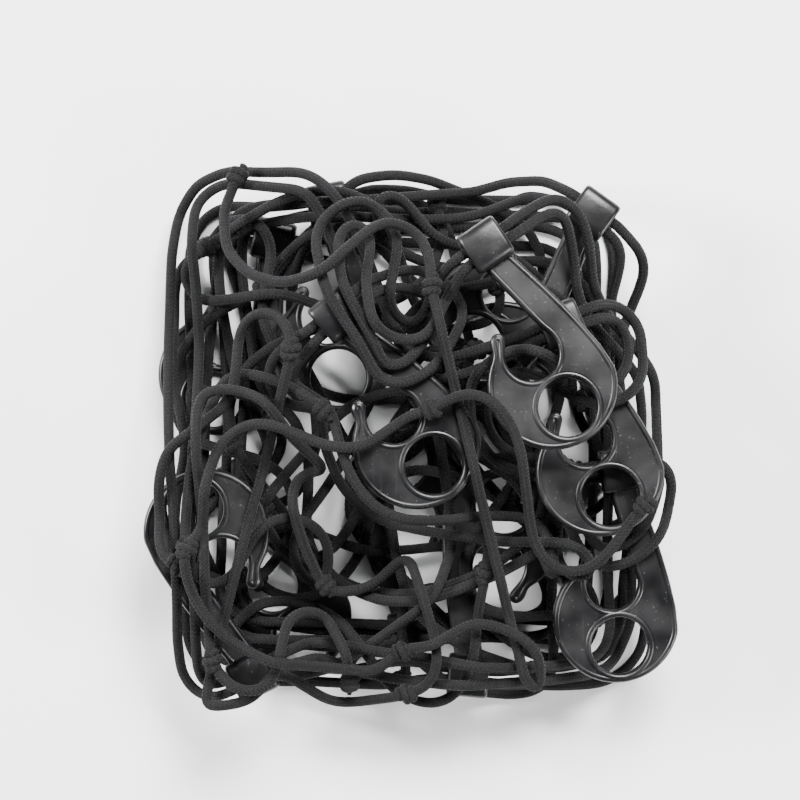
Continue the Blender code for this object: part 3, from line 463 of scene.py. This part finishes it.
# %% Needles of fibre
FIBRE_EVERY = 4.5 * MM
FIBRES_A_KNOT = 14
FIBRE_LONG = (0.7 * MM, 1.7 * MM)
FIBRE_THICK = 0.07 * MM
NEEDLE_CORNERS = (0, 2.1, 4.2)  # radians
FIBRE_LEAN = 1.0  # along the cord, as a share of the fibre's reach
SUNK = 0.95  # fibres start at this share of the cord's radius
ROUND_CORD, ROUND_KNOT = 0.6, 0.4  # how far below its level they still stand (radians)
KNOT_BESIDE, KNOT_OVER, KNOT_ALONG = 3.4 * MM, 2.3 * MM, 2.5 * MM  # where a knot's fibres start
UPRIGHT = np.array((0, 0, 1.0))
FIBRE_UV = (0.5, 0.5)
TINY = 1e-12


def add_fibre(shell, root, out, along, chance):
    """A three-sided needle that leans away from the cord."""
    reach = chance.uniform(*FIBRE_LONG)
    lean = out * reach + along * reach * chance.uniform(-FIBRE_LEAN, FIBRE_LEAN)
    side = np.cross(lean, along)
    side /= max(np.linalg.norm(side), TINY)
    other = np.cross(lean, side)
    other /= max(np.linalg.norm(other), TINY)
    base = len(shell.points)
    for angle in NEEDLE_CORNERS:
        corner = side * math.cos(angle) + other * math.sin(angle)
        shell.points.append((root + corner * FIBRE_THICK).tolist())
    shell.points.append((root + lean).tolist())
    for face in ((0, 1, 2), (0, 3, 1), (1, 3, 2), (2, 3, 0)):
        shell.faces.append([base + k for k in face])
        shell.uvs.extend([FIBRE_UV] * len(face))


def add_fibres(shell, line, closed, tied, chance):
    """Fibres along the whole cord, and more of them at its knots."""
    level, up = across_line(line, closed, False)
    ways = directions(line, closed)
    every = max(1, round(FIBRE_EVERY / LINE_STEP))
    for k in range(chance.randrange(every), len(line), every):
        angle = chance.uniform(-ROUND_CORD, math.pi + ROUND_CORD)
        out = level[k] * math.cos(angle) + up[k] * math.sin(angle)
        add_fibre(shell, line[k] + out * CORD_RADIUS * SUNK, out, ways[k], chance)
    for middle, way in tied:
        way = way / np.linalg.norm(way)
        side = np.cross(way, (0, 0, 1))
        for _ in range(FIBRES_A_KNOT):
            angle = chance.uniform(-ROUND_KNOT, math.pi + ROUND_KNOT)
            out = side * math.cos(angle) + UPRIGHT * math.sin(angle)
            root = middle + side * math.cos(angle) * KNOT_BESIDE + UPRIGHT * math.sin(angle) * KNOT_OVER
            add_fibre(shell, root + way * chance.uniform(-KNOT_ALONG, KNOT_ALONG), out, way, chance)


print("one fibre each", round(FIBRE_EVERY / MM, 1), "mm")

# %% [markdown]
# ## The cords as pieces
# Each cord is one mesh: its tube, the windings of its knots, and its fibres. Elastic cord is never quite
# even, so its thickness swells a little, slowly and quickly. The mesh replaces its solid and rides on the
# only body.

# %% Make the cords
SEED = 1000
SLOW_SWELL, SLOW_EVERY = 0.02, 37 * MM
QUICK_SWELL, QUICK_EVERY = 0.012, 9 * MM


def uneven_radii(run, number):
    """The radius at each place along this cord."""
    slow = SLOW_SWELL * np.sin(run / SLOW_EVERY)
    quick = QUICK_SWELL * np.sin(run / QUICK_EVERY + number)
    return CORD_RADIUS * (1 + slow + quick)


cord_pieces = []
for number, name in enumerate(cords):
    line, _, _, closed = lines[name]
    chance = random.Random(SEED + number)
    shell = Shell()
    shell.sweep(line, uneven_radii(np.arange(len(line)) * LINE_STEP, number), closed=closed)
    for middle, way in knots[name]:
        coil = winding(middle, way, chance.uniform(0, 2 * math.pi))
        fullness = np.sin(math.pi * np.linspace(0, 1, len(coil)))
        shell.sweep(coil, KNOT_CORD * (KNOT_ENDS + (1 - KNOT_ENDS) * fullness), carried=True)
    add_fibres(shell, line, closed, knots[name], chance)
    piece = bpy.data.objects.new(f"braid_{name}", shell.mesh(f"braid_{name}"))
    bpy.context.scene.collection.objects.link(piece)
    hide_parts(name)
    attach(piece, "root")
    cord_pieces.append(piece)
print("cord faces", sum(len(piece.data.polygons) for piece in cord_pieces))

# %% [markdown]
# ## A hook's outline
# The hook is moulded nylon: a disc with a round eye, a throat that catches a rail, and a shank to the
# sleeve. Its plan starts at the disc's middle, and x runs along the shank. The round stretches are arcs.
# Averaging each point with its neighbours makes the corners between them blunt, as on any moulding.

# %% Outline of the plate
# In millimetres, with each point of the plan as a complex number
DISC = 23.0
EYE, EYE_AT = 10.4, -9.5
THROAT, THROAT_AT = 9.6, 13.0
DISC_ARC, THROAT_ARC = (30, 252, 56), (-58, -312, 40)  # start and end in degrees, and steps
PLATE_THICK, PLATE_ROUND = 4.6, 0.9
SLEEVE_AT = 54.0 - 8.0j
UNDER_SHANK = [2 - 22.1j, 12 - 20.9j, 21 - 19.4j, 30 - 17.6j, 48.6 - 13.2j]
OVER_SHANK = [48.6 - 2.8j, 34 - 5.4j]
TIP = [23.4 + 4.3j, 25.6 + 5.2j, 26.4 + 6.6j, 26.1 + 8.6j, 24.2 + 10.4j]
OUTLINE_STEP, OUTLINE_ROUNDS = 0.9, 3


def arc(middle, radius, start, end, steps):
    """Points along an arc, from one angle to the other in degrees."""
    angles = [math.radians(start + (end - start) * k / steps) for k in range(steps + 1)]
    return [middle + cmath.rect(radius, angle) for angle in angles]


def ring(middle, radius, count):
    """This many points round a whole circle."""
    return np.array(arc(middle, radius, 0, 360 - 360 / count, count - 1))


def plate_outline():
    """Round the disc, out along the shank and back over it, through the throat and round its tip."""
    disc = arc(0, DISC, *DISC_ARC)
    throat = arc(THROAT_AT, THROAT, *THROAT_ARC)
    return disc + UNDER_SHANK + OVER_SHANK + throat + TIP


def softened(points, passes):
    """The closed outline with its corners rounded by averaging neighbours."""
    line = np.array(points)
    for _ in range(passes):
        line = line / 2 + (np.roll(line, 1) + np.roll(line, -1)) / 4
    return line


def resampled(points, step):
    """The closed outline with points this far apart."""
    line = np.array([*points, points[0]])
    way = np.concatenate([[0], np.cumsum(np.abs(np.diff(line)))])
    count = round(way[-1] / step)
    return np.interp(np.arange(count) / count * way[-1], way, line)


outline = softened(resampled(plate_outline(), OUTLINE_STEP), OUTLINE_ROUNDS)
print("outline points", len(outline), "long", round(np.ptp(outline.real), 1), "mm")

# %% [markdown]
# ## The plate
# A flat outline that is filled and given a rounded edge is exactly what a 2-D curve object does. So the plate
# is a curve with two closed splines, the outline and the eye, and only then a mesh.

# %% The plate
EYE_POINTS = 36
MERGED = 0.002 * MM


def plate_from_curve():
    """The filled outline with its eye, thick and with rounded edges."""
    curve = bpy.data.curves.new("plate_curve", "CURVE")
    curve.dimensions = "2D"
    curve.fill_mode = "BOTH"
    curve.extrude = (PLATE_THICK / 2 - PLATE_ROUND) * MM
    curve.bevel_depth = PLATE_ROUND * MM
    curve.bevel_resolution = 3
    curve.offset = -PLATE_ROUND * MM
    for points in (outline, ring(EYE_AT, EYE, EYE_POINTS)):
        spline = curve.splines.new("POLY")
        spline.points.add(len(points) - 1)
        for spline_point, point in zip(spline.points, points):
            spline_point.co = (point.real * MM, point.imag * MM, 0, 1)
        spline.use_cyclic_u = True
    holder = bpy.data.objects.new("plate_curve", curve)
    bpy.context.scene.collection.objects.link(holder)
    mesh = bpy.data.meshes.new_from_object(holder.evaluated_get(bpy.context.evaluated_depsgraph_get()))
    bpy.data.objects.remove(holder)
    plate = bmesh.new()
    plate.from_mesh(mesh)
    bmesh.ops.remove_doubles(plate, verts=plate.verts, dist=MERGED)
    bmesh.ops.translate(plate, verts=plate.verts, vec=(0, 0, PLATE_THICK / 2 * MM))
    bmesh.ops.recalc_face_normals(plate, faces=plate.faces)
    plate.to_mesh(mesh)
    plate.free()
    return mesh


plate_body = plate_from_curve()
print("plate faces", len(plate_body.polygons))

# %% [markdown]
# ## The sleeve
# The border runs through a rounded block with a flared slot. A bevelled box and a boolean cut would leave the
# mouths of the slot sharp. Lofting it from flat rounded sections rounds them too: out over the block, round
# its mouth, and back through the slot.

# %% The sleeve
SLEEVE_LONG, SLEEVE_WIDE, SLEEVE_HIGH = 15.0, 15.6, 10.4
SLOT_WIDE, SLOT_HIGH = 9.3, 4.9
SLEEVE_SQUARE, SLOT_SQUARE = 4.0, 5.0  # the larger, the sharper the corners
SLEEVE_POINTS = 36
# Sections at one end: way in from the end, and how much smaller the block or wider the slot is there
MOUTH_OUTSIDE = ((0.0, 1.7), (0.25, 0.9), (0.8, 0.25), (1.6, 0.0))
MOUTH_INSIDE = ((1.6, 0.0), (0.7, 0.35), (0.15, 1.0))


def section(wide, high, square, along):
    """A rounded rectangle across the sleeve, this far along it from its middle."""
    points = []
    for k in range(SLEEVE_POINTS):
        angle = 2 * math.pi * k / SLEEVE_POINTS
        c, s = math.cos(angle), math.sin(angle)
        x = math.copysign(abs(c) ** (2 / square), c) * wide / 2
        z = math.copysign(abs(s) ** (2 / square), s) * high / 2
        points.append(Vector((SLEEVE_AT.real + x, SLEEVE_AT.imag + along, SLEEVE_HIGH / 2 + z)) * MM)
    return points


def sleeve_mesh():
    """The sleeve as one closed band of sections, outside and then back through the slot."""
    end = SLEEVE_LONG / 2
    sections = []
    for side in (-1, 1):
        for way_in, less in MOUTH_OUTSIDE[::-side]:
            along = (end - way_in) * side
            sections.append(section(SLEEVE_WIDE - less, SLEEVE_HIGH - less, SLEEVE_SQUARE, along))
    sections.insert(len(MOUTH_OUTSIDE), section(SLEEVE_WIDE, SLEEVE_HIGH, SLEEVE_SQUARE, 0))
    for side in (1, -1):
        for way_in, more in MOUTH_INSIDE[::-side]:
            along = (end - way_in) * side
            sections.append(section(SLOT_WIDE + more, SLOT_HIGH + more, SLOT_SQUARE, along))
    band = bmesh.new()
    rows = [[band.verts.new(point) for point in row] for row in sections]
    for row, ahead in zip(rows, rows[1:] + rows[:1]):
        for k in range(SLEEVE_POINTS):
            beside = (k + 1) % SLEEVE_POINTS
            band.faces.new((row[k], row[beside], ahead[beside], ahead[k]))
    bmesh.ops.recalc_face_normals(band, faces=band.faces)
    mesh = bpy.data.meshes.new("sleeve")
    band.to_mesh(mesh)
    band.free()
    return mesh


sleeve_body = sleeve_mesh()
print("sleeve faces", len(sleeve_body.polygons))

# %% [markdown]
# ## Bead and rim
# A bead runs along the plate's outer edge and a rim stands round the eye. Both stiffen the plate, and they
# catch the light first. A bevel could only cut the edge away, so they are tubes of their own, swept along the
# outline and the eye and sunk about halfway into the plate.

# %% Bead and rim
BEAD, BEAD_IN, BEAD_UP = 1.05, 1.25, 4.2  # radius, way in from the edge, height of its middle
BEAD_ROUNDS, BEAD_CLEAR = 4, 0.95  # how often it is softened, and the share of its way in that it keeps
RIM, RIM_OUT, RIM_UP = 1.15, 1.2, 4.3  # radius, way out from the eye, height of its middle
RIM_POINTS = 60
EDGE_FLAT, EDGE_SIDES = 0.72, 14  # height of both as a share of their width, and sides of the tube


def drawn_in(points, inset):
    """The closed outline moved in by this much, without the points that come too near to it."""
    ahead = np.roll(points, -1)
    ways = ahead - np.roll(points, 1)
    ways /= np.abs(ways)
    area = (points.conj() * ahead).imag.sum()
    moved = points + ways * 1j * inset * math.copysign(1, area)
    room = np.abs(moved[:, None] - points[None, :]).min(axis=1)
    return resampled(moved[room > inset * BEAD_CLEAR], OUTLINE_STEP)


def edge_tube(name, points, radius, height):
    """A bead on the plate along a closed line."""
    line = np.stack([points.real, points.imag, np.full(len(points), height)], axis=1) * MM
    shell = Shell()
    shell.sweep(line, radius * MM, sides=EDGE_SIDES, closed=True, flat=EDGE_FLAT)
    return shell.mesh(name)


bead_line = softened(drawn_in(outline, BEAD_IN), BEAD_ROUNDS)
bead_body = edge_tube("bead", bead_line, BEAD, BEAD_UP)
rim_body = edge_tube("rim", ring(EYE_AT, EYE + RIM_OUT, RIM_POINTS), RIM, RIM_UP)
print("bead faces", len(bead_body.polygons), "rim faces", len(rim_body.polygons))

# %% [markdown]
# ## One hook from its bodies
# A moulding is one piece, so the four bodies are united. A boolean union gives clean seams where they meet,
# and all twelve hooks share the result. Faces that meet at a small angle are shaded as one surface.

# %% Unite the bodies
SMOOTH_BELOW = math.radians(38)
CUBIC_CM = 1e-6


def united(bodies):
    """The union of closed meshes, as one mesh."""
    holders = [bpy.data.objects.new(body.name, body) for body in bodies]
    for holder in holders:
        bpy.context.scene.collection.objects.link(holder)
    for holder in holders[1:]:
        join = holders[0].modifiers.new(holder.name, "BOOLEAN")
        join.operation = "UNION"
        join.solver = "EXACT"
        join.object = holder
    mesh = bpy.data.meshes.new_from_object(holders[0].evaluated_get(bpy.context.evaluated_depsgraph_get()))
    for holder in holders:
        bpy.data.objects.remove(holder)
    return mesh


hook_mesh = united([plate_body, sleeve_body, bead_body, rim_body])
hook_mesh.shade_smooth()
hook_mesh.set_sharp_from_angle(angle=SMOOTH_BELOW)
measured = bmesh.new()
measured.from_mesh(hook_mesh)
open_edges = sum(1 for edge in measured.edges if not edge.is_manifold)
print("hook faces", len(hook_mesh.polygons), "open edges", open_edges)
print("hook volume", round(measured.calc_volume() / CUBIC_CM, 2), "cm3")
measured.free()

# %% [markdown]
# ## Where the hooks lie
# Every hook has its own direction in the heap, and the four on top are also tilted a little. A table of
# angles would do, but the solids already hold them. The under side of a solid's plate faces the way of its
# tilt. The edge of its disc beyond the eye is part of a circle, whose middle a least-squares fit gives, and
# the line from there to the sleeve's top corners is the hook's direction.

# %% Read how a hook lies
FACING_DOWN = -0.9  # a face with a lower z of its normal belongs to the plate's under side
SLEEVE_TOP = 9.0  # only the sleeve's top corners are higher (mm)
FLAT_WITHIN = 0.5  # height of the under side's points above its plane, at most (mm)
BEYOND_EYE = abs(EYE_AT - SLEEVE_AT) + EYE + 0.3  # from the sleeve, only the disc's edge is farther


def circle_middle(points):
    """The middle of the circle through these points of a plan."""
    terms = np.stack([2 * points.real, 2 * points.imag, np.ones(len(points))], axis=1)
    x, y, _ = np.linalg.lstsq(terms, np.abs(points) ** 2, rcond=None)[0]
    return complex(x, y)


def lying(mesh):
    """The turn that lays a dressed hook down as this solid lies."""
    down = Vector((0, 0, 0))
    for face in mesh.polygons:
        if face.normal.z < FACING_DOWN:
            down += face.normal * face.area
    up = -down.normalized()
    level = up.orthogonal().normalized()
    own = Matrix((level, up.cross(level), up))
    x, y, z = np.array([own @ vertex.co / MM for vertex in mesh.vertices]).T
    plan, height = x + 1j * y, z - z.min()
    sleeve = np.unique(np.round(plan[height > SLEEVE_TOP], 3)).mean()
    edge = plan[(height < FLAT_WITHIN) & (np.abs(plan - sleeve) > BEYOND_EYE)]
    way = (sleeve - circle_middle(edge)) / SLEEVE_AT
    return (own.transposed() @ Matrix.Rotation(cmath.phase(way), 3, "Z")).to_4x4()


turns = {name: lying(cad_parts[name].data) for name in hooks}
for name, turn in turns.items():
    along, up = turn.col[0], turn.col[2]
    leans = round(math.degrees(math.acos(min(1, up.z))), 1)
    print(name, "points", round(math.degrees(math.atan2(along.y, along.x)), 1), "leans", leans)

# %% [markdown]
# ## The hooks as pieces
# Each hook is a copy of the one mesh, turned as its solid lies. It is moved until its box has the same
# middle and the same lowest point as its solid, because the two are the same hook with other edges.

# %% Put the hooks in their places
hook_pieces = []
for name, turn in turns.items():
    corners = np.array([turn @ vertex.co for vertex in hook_mesh.vertices])
    own_low, own_high = corners.min(axis=0), corners.max(axis=0)
    low, high = (np.array(corner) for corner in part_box(name))
    move = (low + high) / 2 - (own_low + own_high) / 2
    move[2] = low[2] - own_low[2]
    piece = bpy.data.objects.new(f"moulded_{name}", hook_mesh.copy())
    piece.data.transform(Matrix.Translation(move) @ turn)
    bpy.context.scene.collection.objects.link(piece)
    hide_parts(name)
    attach(piece, "root")
    hook_pieces.append(piece)
print("hooks placed", len(hook_pieces), "of", len(hooks))

# %% [markdown]
# ## A shared effect: fine grain
# Both the yarn and the plastic have a fine uneven grain, and both are a little lighter in patches where
# dust lies. A node group makes both from noise and is placed in each material with its own scale and
# amount. It puts out a height for a bump and a mask for the colour.

# %% Nodes and groups
def add(tree, kind, place=(0, 0), **settings):
    """A node of this kind, with its settings."""
    node = tree.nodes.new(kind)
    node.location = place
    for key, value in settings.items():
        setattr(node, key, value)
    return node


def set_inputs(node, values):
    """Constants on a node's sockets, by name."""
    for socket_name, value in values.items():
        node.inputs[socket_name].default_value = value


def new_group(name, inputs, outputs):
    """A node group with these inputs, each with its first value, and these outputs; all are numbers."""
    group = bpy.data.node_groups.new(name, "ShaderNodeTree")
    for socket_name, start in inputs.items():
        socket = group.interface.new_socket(socket_name, in_out="INPUT", socket_type="NodeSocketFloat")
        socket.default_value = start
    for socket_name in outputs:
        group.interface.new_socket(socket_name, in_out="OUTPUT", socket_type="NodeSocketFloat")
    return group, add(group, "NodeGroupInput", (-1200, 0)), add(group, "NodeGroupOutput", (900, 0))


def math_node(tree, operation, *values, place=(0, 0)):
    """A math node; each value is a number or the socket that feeds it."""
    node = add(tree, "ShaderNodeMath", place, operation=operation)
    for socket, value in zip(node.inputs, values):
        if isinstance(value, bpy.types.NodeSocket):
            tree.links.new(value, socket)
        else:
            socket.default_value = value
    return node.outputs[0]


def noise(tree, vector, scale, detail=2.0, place=(0, 0)):
    """A noise texture's value on the object's own coordinates, or on another vector."""
    node = add(tree, "ShaderNodeTexNoise", place)
    node.inputs["Detail"].default_value = detail
    tree.links.new(vector, node.inputs["Vector"])
    if isinstance(scale, bpy.types.NodeSocket):
        tree.links.new(scale, node.inputs["Scale"])
    else:
        node.inputs["Scale"].default_value = scale
    return node.outputs["Fac"]


# %% The grain group
GRAIN_START = {"Scale": 900.0, "Patch Scale": 40.0, "Amount": 1.0}
grain, inlet, outlet = new_group("fine_grain", GRAIN_START, ("Height", "Patches"))
where = add(grain, "ShaderNodeTexCoord", (-800, 300)).outputs["Object"]
fine = noise(grain, where, inlet.outputs["Scale"], detail=3.0, place=(-500, 200))
patch = noise(grain, where, inlet.outputs["Patch Scale"], place=(-500, -200))
grain.links.new(math_node(grain, "MULTIPLY", fine, inlet.outputs["Amount"]), outlet.inputs["Height"])
grain.links.new(math_node(grain, "MULTIPLY", patch, inlet.outputs["Amount"]), outlet.inputs["Patches"])
print("group", grain.name, [item.name for item in grain.interface.items_tree])

# %% [markdown]
# ## The braid
# The sleeve of an elastic cord is braided from sixteen carriers of yarn, eight to the left and eight to the
# right, which pass over and under each other. On the unrolled cord each family is a set of slanted stripes.
# A checkerboard of the two decides which family is on top at each stitch. The UV map of the tubes gives the
# place on the cord.

# %% The braid group
CARRIERS = 8.0
LAY = 1.15  # centimetres along the cord for one turn of a carrier
YARN_UNEVEN = 7.0  # scale of the noise that makes some stitches darker

BRAID_START = {"Carriers": CARRIERS, "Lay": LAY}
braid, inlet, outlet = new_group("braided_yarn", BRAID_START, ("Height", "Painted Stitch Shade"))
uv = add(braid, "ShaderNodeUVMap", (-1200, 300), uv_map=UV_NAME).outputs["UV"]
apart = add(braid, "ShaderNodeSeparateXYZ", (-1000, 300))
braid.links.new(uv, apart.inputs[0])
turned = math_node(braid, "DIVIDE", apart.outputs["X"], inlet.outputs["Lay"], place=(-850, 300))
families = []
for operation in ("ADD", "SUBTRACT"):
    slanted = math_node(braid, operation, apart.outputs["Y"], turned)
    families.append(math_node(braid, "MULTIPLY", slanted, inlet.outputs["Carriers"]))
ridges = []
for stripes in families:
    wave = math_node(braid, "SINE", math_node(braid, "MULTIPLY", stripes, math.pi))
    ridges.append(math_node(braid, "ABSOLUTE", wave))
steps = [math_node(braid, "FLOOR", stripes) for stripes in families]
parity = math_node(braid, "PINGPONG", math_node(braid, "ADD", *steps), 1.0)
left_on_top = math_node(braid, "GREATER_THAN", parity, 0.5)
right_on_top = math_node(braid, "SUBTRACT", 1.0, left_on_top)
left_part = math_node(braid, "MULTIPLY", ridges[0], left_on_top)
right_part = math_node(braid, "MULTIPLY", ridges[1], right_on_top)
height = math_node(braid, "ADD", left_part, right_part)
braid.links.new(height, outlet.inputs["Height"])
uneven = noise(braid, uv, YARN_UNEVEN, detail=1.0, place=(200, -200))
# painted shade and highlight: the stitch height times a random tone, dark in the gaps and light on the
# crowns, for the base colour
braid.links.new(math_node(braid, "MULTIPLY", height, uneven), outlet.inputs["Painted Stitch Shade"])
print("group", braid.name, "stitches of", round(2 * math.pi * CORD_RADIUS / MM / CARRIERS, 2), "mm")

# %% [markdown]
# ## Black braided cord
# Black polyester yarn is not fully black: the crowns of the stitches catch light, the gaps between them
# don't, and a haze of broken fibres makes the edges of the cord look paler than its middle. The bump carries
# the stitches, and the base colour carries them as painted light: a painted highlight on the crowns and
# painted shade in the gaps, with a random change of tone and lighter lint patches. The sheen of the shader
# does the haze.

# %% Ramps, bumps and placed groups
def new_finish(name, values):
    """A material, its node tree and its Principled shader with these values."""
    finish = bpy.data.materials.new(name)
    finish.use_nodes = True
    shader = finish.node_tree.nodes["Principled BSDF"]
    set_inputs(shader, values)
    return finish, finish.node_tree, shader


def placed(tree, group, values, place):
    """A group in a material, with its own values."""
    node = add(tree, "ShaderNodeGroup", place, node_tree=group)
    set_inputs(node, values)
    return node


def ramp(tree, value, stops, place=(-500, 300)):
    """A ramp from dark to light, fed by the value; each stop is a position and a colour."""
    node = add(tree, "ShaderNodeValToRGB", place)
    elements = node.color_ramp.elements
    for k, (position, colour) in enumerate(stops):
        stop = elements[k] if k < 2 else elements.new(position)
        stop.position = position
        stop.color = (*colour, 1)
    tree.links.new(value, node.inputs["Fac"])
    return node.outputs["Color"]


def bump(tree, height, values, place):
    """A bump node with these values, fed by the height."""
    node = add(tree, "ShaderNodeBump", place)
    set_inputs(node, values)
    tree.links.new(height, node.inputs["Height"])
    return node


# %% The cord's finish
CORD_FINISH = {
    "Roughness": 0.86,
    "Specular IOR Level": 0.15,
    "Sheen Weight": 0.06,
    "Sheen Roughness": 0.40,
    "Sheen Tint": (0.45, 0.45, 0.48, 1),
}
# painted shade in the braid's gaps and a painted highlight on its stitch crowns; real lint patches lighten it
# too
YARN_PAINTED_SHADE_AND_LINT = ((0.0, (0.0005, 0.0005, 0.0006)), (0.85, (0.0095, 0.0095, 0.010)))
LINT_LIGHTENS = 0.35
LINT = {"Scale": 1500.0, "Patch Scale": 55.0, "Amount": 1.0}
STITCH_BUMP = {"Strength": 0.85, "Distance": 0.30 * MM}
LINT_BUMP = {"Strength": 0.6, "Distance": 0.12 * MM}

cord_finish, tree, shader = new_finish("black_cord_braid", CORD_FINISH)
stitches = placed(tree, braid, BRAID_START, (-900, 200))
lint = placed(tree, grain, LINT, (-900, -200))
lighter = math_node(tree, "MULTIPLY", lint.outputs["Patches"], LINT_LIGHTENS)
# the painted stitch shade plus the real lint patches feed the base colour
painted_shade_and_lint = math_node(tree, "ADD", stitches.outputs["Painted Stitch Shade"], lighter)
tree.links.new(ramp(tree, painted_shade_and_lint, YARN_PAINTED_SHADE_AND_LINT), shader.inputs["Base Color"])
stitch_bump = bump(tree, stitches.outputs["Height"], STITCH_BUMP, (-300, -100))
lint_bump = bump(tree, lint.outputs["Height"], LINT_BUMP, (-100, -300))
tree.links.new(stitch_bump.outputs["Normal"], lint_bump.inputs["Normal"])
tree.links.new(lint_bump.outputs["Normal"], shader.inputs["Normal"])
for piece in cord_pieces:
    piece.data.materials.append(cord_finish)
print("cord finish on", len(cord_pieces), "pieces")

# %% [markdown]
# ## Satin black plastic
# Nylon comes out of its mould with a satin skin. Rubbing on other hooks and on cord leaves fine scratches
# that run every way, and dust dulls it in patches and lies on it in specks. Scratches are thin bright lines
# of a stretched noise, laid twice in different directions, and the roughness follows the dust.

# %% Scratches and dust
# turn of the stretched noise (radians), its stretch, its scale
SCRATCHES = ((0.6, (1.0, 0.035, 1.0), 820.0), (2.3, (1.0, 0.05, 1.0), 610.0))
SCRATCH_ABOVE, SPECK_ABOVE = 0.71, 0.80  # the value of the noise above which a mark shows
SPECK_SCALE = 1300.0
SKIN = {"Scale": 700.0, "Patch Scale": 70.0, "Amount": 1.0}

hook_finish, tree, shader = new_finish("satin_black_plastic", {"Specular IOR Level": 0.30})
skin = placed(tree, grain, SKIN, (-900, -300))
where = add(tree, "ShaderNodeTexCoord", (-1500, 200)).outputs["Object"]
scratch_lines = []
for turn_by, stretch, scale in SCRATCHES:
    turned = add(tree, "ShaderNodeMapping", (-1300, 200))
    set_inputs(turned, {"Rotation": (0, 0, turn_by), "Scale": stretch})
    tree.links.new(where, turned.inputs["Vector"])
    streaks = noise(tree, turned.outputs["Vector"], scale, detail=1.0, place=(-1100, 200))
    scratch_lines.append(math_node(tree, "GREATER_THAN", streaks, SCRATCH_ABOVE))
scratches = math_node(tree, "MAXIMUM", *scratch_lines)
grit = noise(tree, where, SPECK_SCALE, detail=0.0, place=(-1100, -100))
specks = math_node(tree, "GREATER_THAN", grit, SPECK_ABOVE)
print("scratch directions", len(SCRATCHES))

# %% The hooks' finish
PLASTIC_TONES = (
    (0.35, (0.0015, 0.0015, 0.0018)),
    (0.75, (0.008, 0.008, 0.0085)),
    (1.0, (0.045, 0.045, 0.045)),  # dust
)
SCRATCH_LIGHTENS, SPECK_LIGHTENS, SCRATCH_DEEP = 0.14, 0.5, 0.5
DULLED = {"From Min": 0.3, "From Max": 0.8, "To Min": 0.27, "To Max": 0.50}  # from dust to roughness
SKIN_BUMP = {"Strength": 0.35, "Distance": 0.06 * MM}

paler_scratches = math_node(tree, "MULTIPLY", scratches, SCRATCH_LIGHTENS)
marks = math_node(tree, "ADD", paler_scratches, math_node(tree, "MULTIPLY", specks, SPECK_LIGHTENS))
worn = math_node(tree, "ADD", skin.outputs["Patches"], marks)
tree.links.new(ramp(tree, worn, PLASTIC_TONES), shader.inputs["Base Color"])
dull = add(tree, "ShaderNodeMapRange", (-500, 0))
set_inputs(dull, DULLED)
tree.links.new(skin.outputs["Patches"], dull.inputs["Value"])
tree.links.new(dull.outputs["Result"], shader.inputs["Roughness"])
cut = math_node(tree, "MULTIPLY", scratches, SCRATCH_DEEP)
relief = math_node(tree, "SUBTRACT", skin.outputs["Height"], cut)
skin_bump = bump(tree, relief, SKIN_BUMP, (-300, -300))
tree.links.new(skin_bump.outputs["Normal"], shader.inputs["Normal"])
for piece in hook_pieces:
    piece.data.materials.clear()
    piece.data.materials.append(hook_finish)
print("plastic finish on", len(hook_pieces), "pieces")

# %% [markdown]
# ## The floor's finish
# The floor is a pale matt board. A faint change of tone keeps it from looking like a cut-out.

# %% Pale floor
BOARD_TONES = ((0.0, (0.76, 0.76, 0.76)), (1.0, (0.80, 0.80, 0.80)))
BOARD_SCALE = 6.0

floor_finish, tree, shader = new_finish("pale_board", {"Roughness": 0.9})
where = add(tree, "ShaderNodeTexCoord", (-900, 0)).outputs["Object"]
tree.links.new(ramp(tree, noise(tree, where, BOARD_SCALE), BOARD_TONES), shader.inputs["Base Color"])
floor.data.materials.append(floor_finish)
print("floor", round(FLOOR_REACH * 2), "m wide")
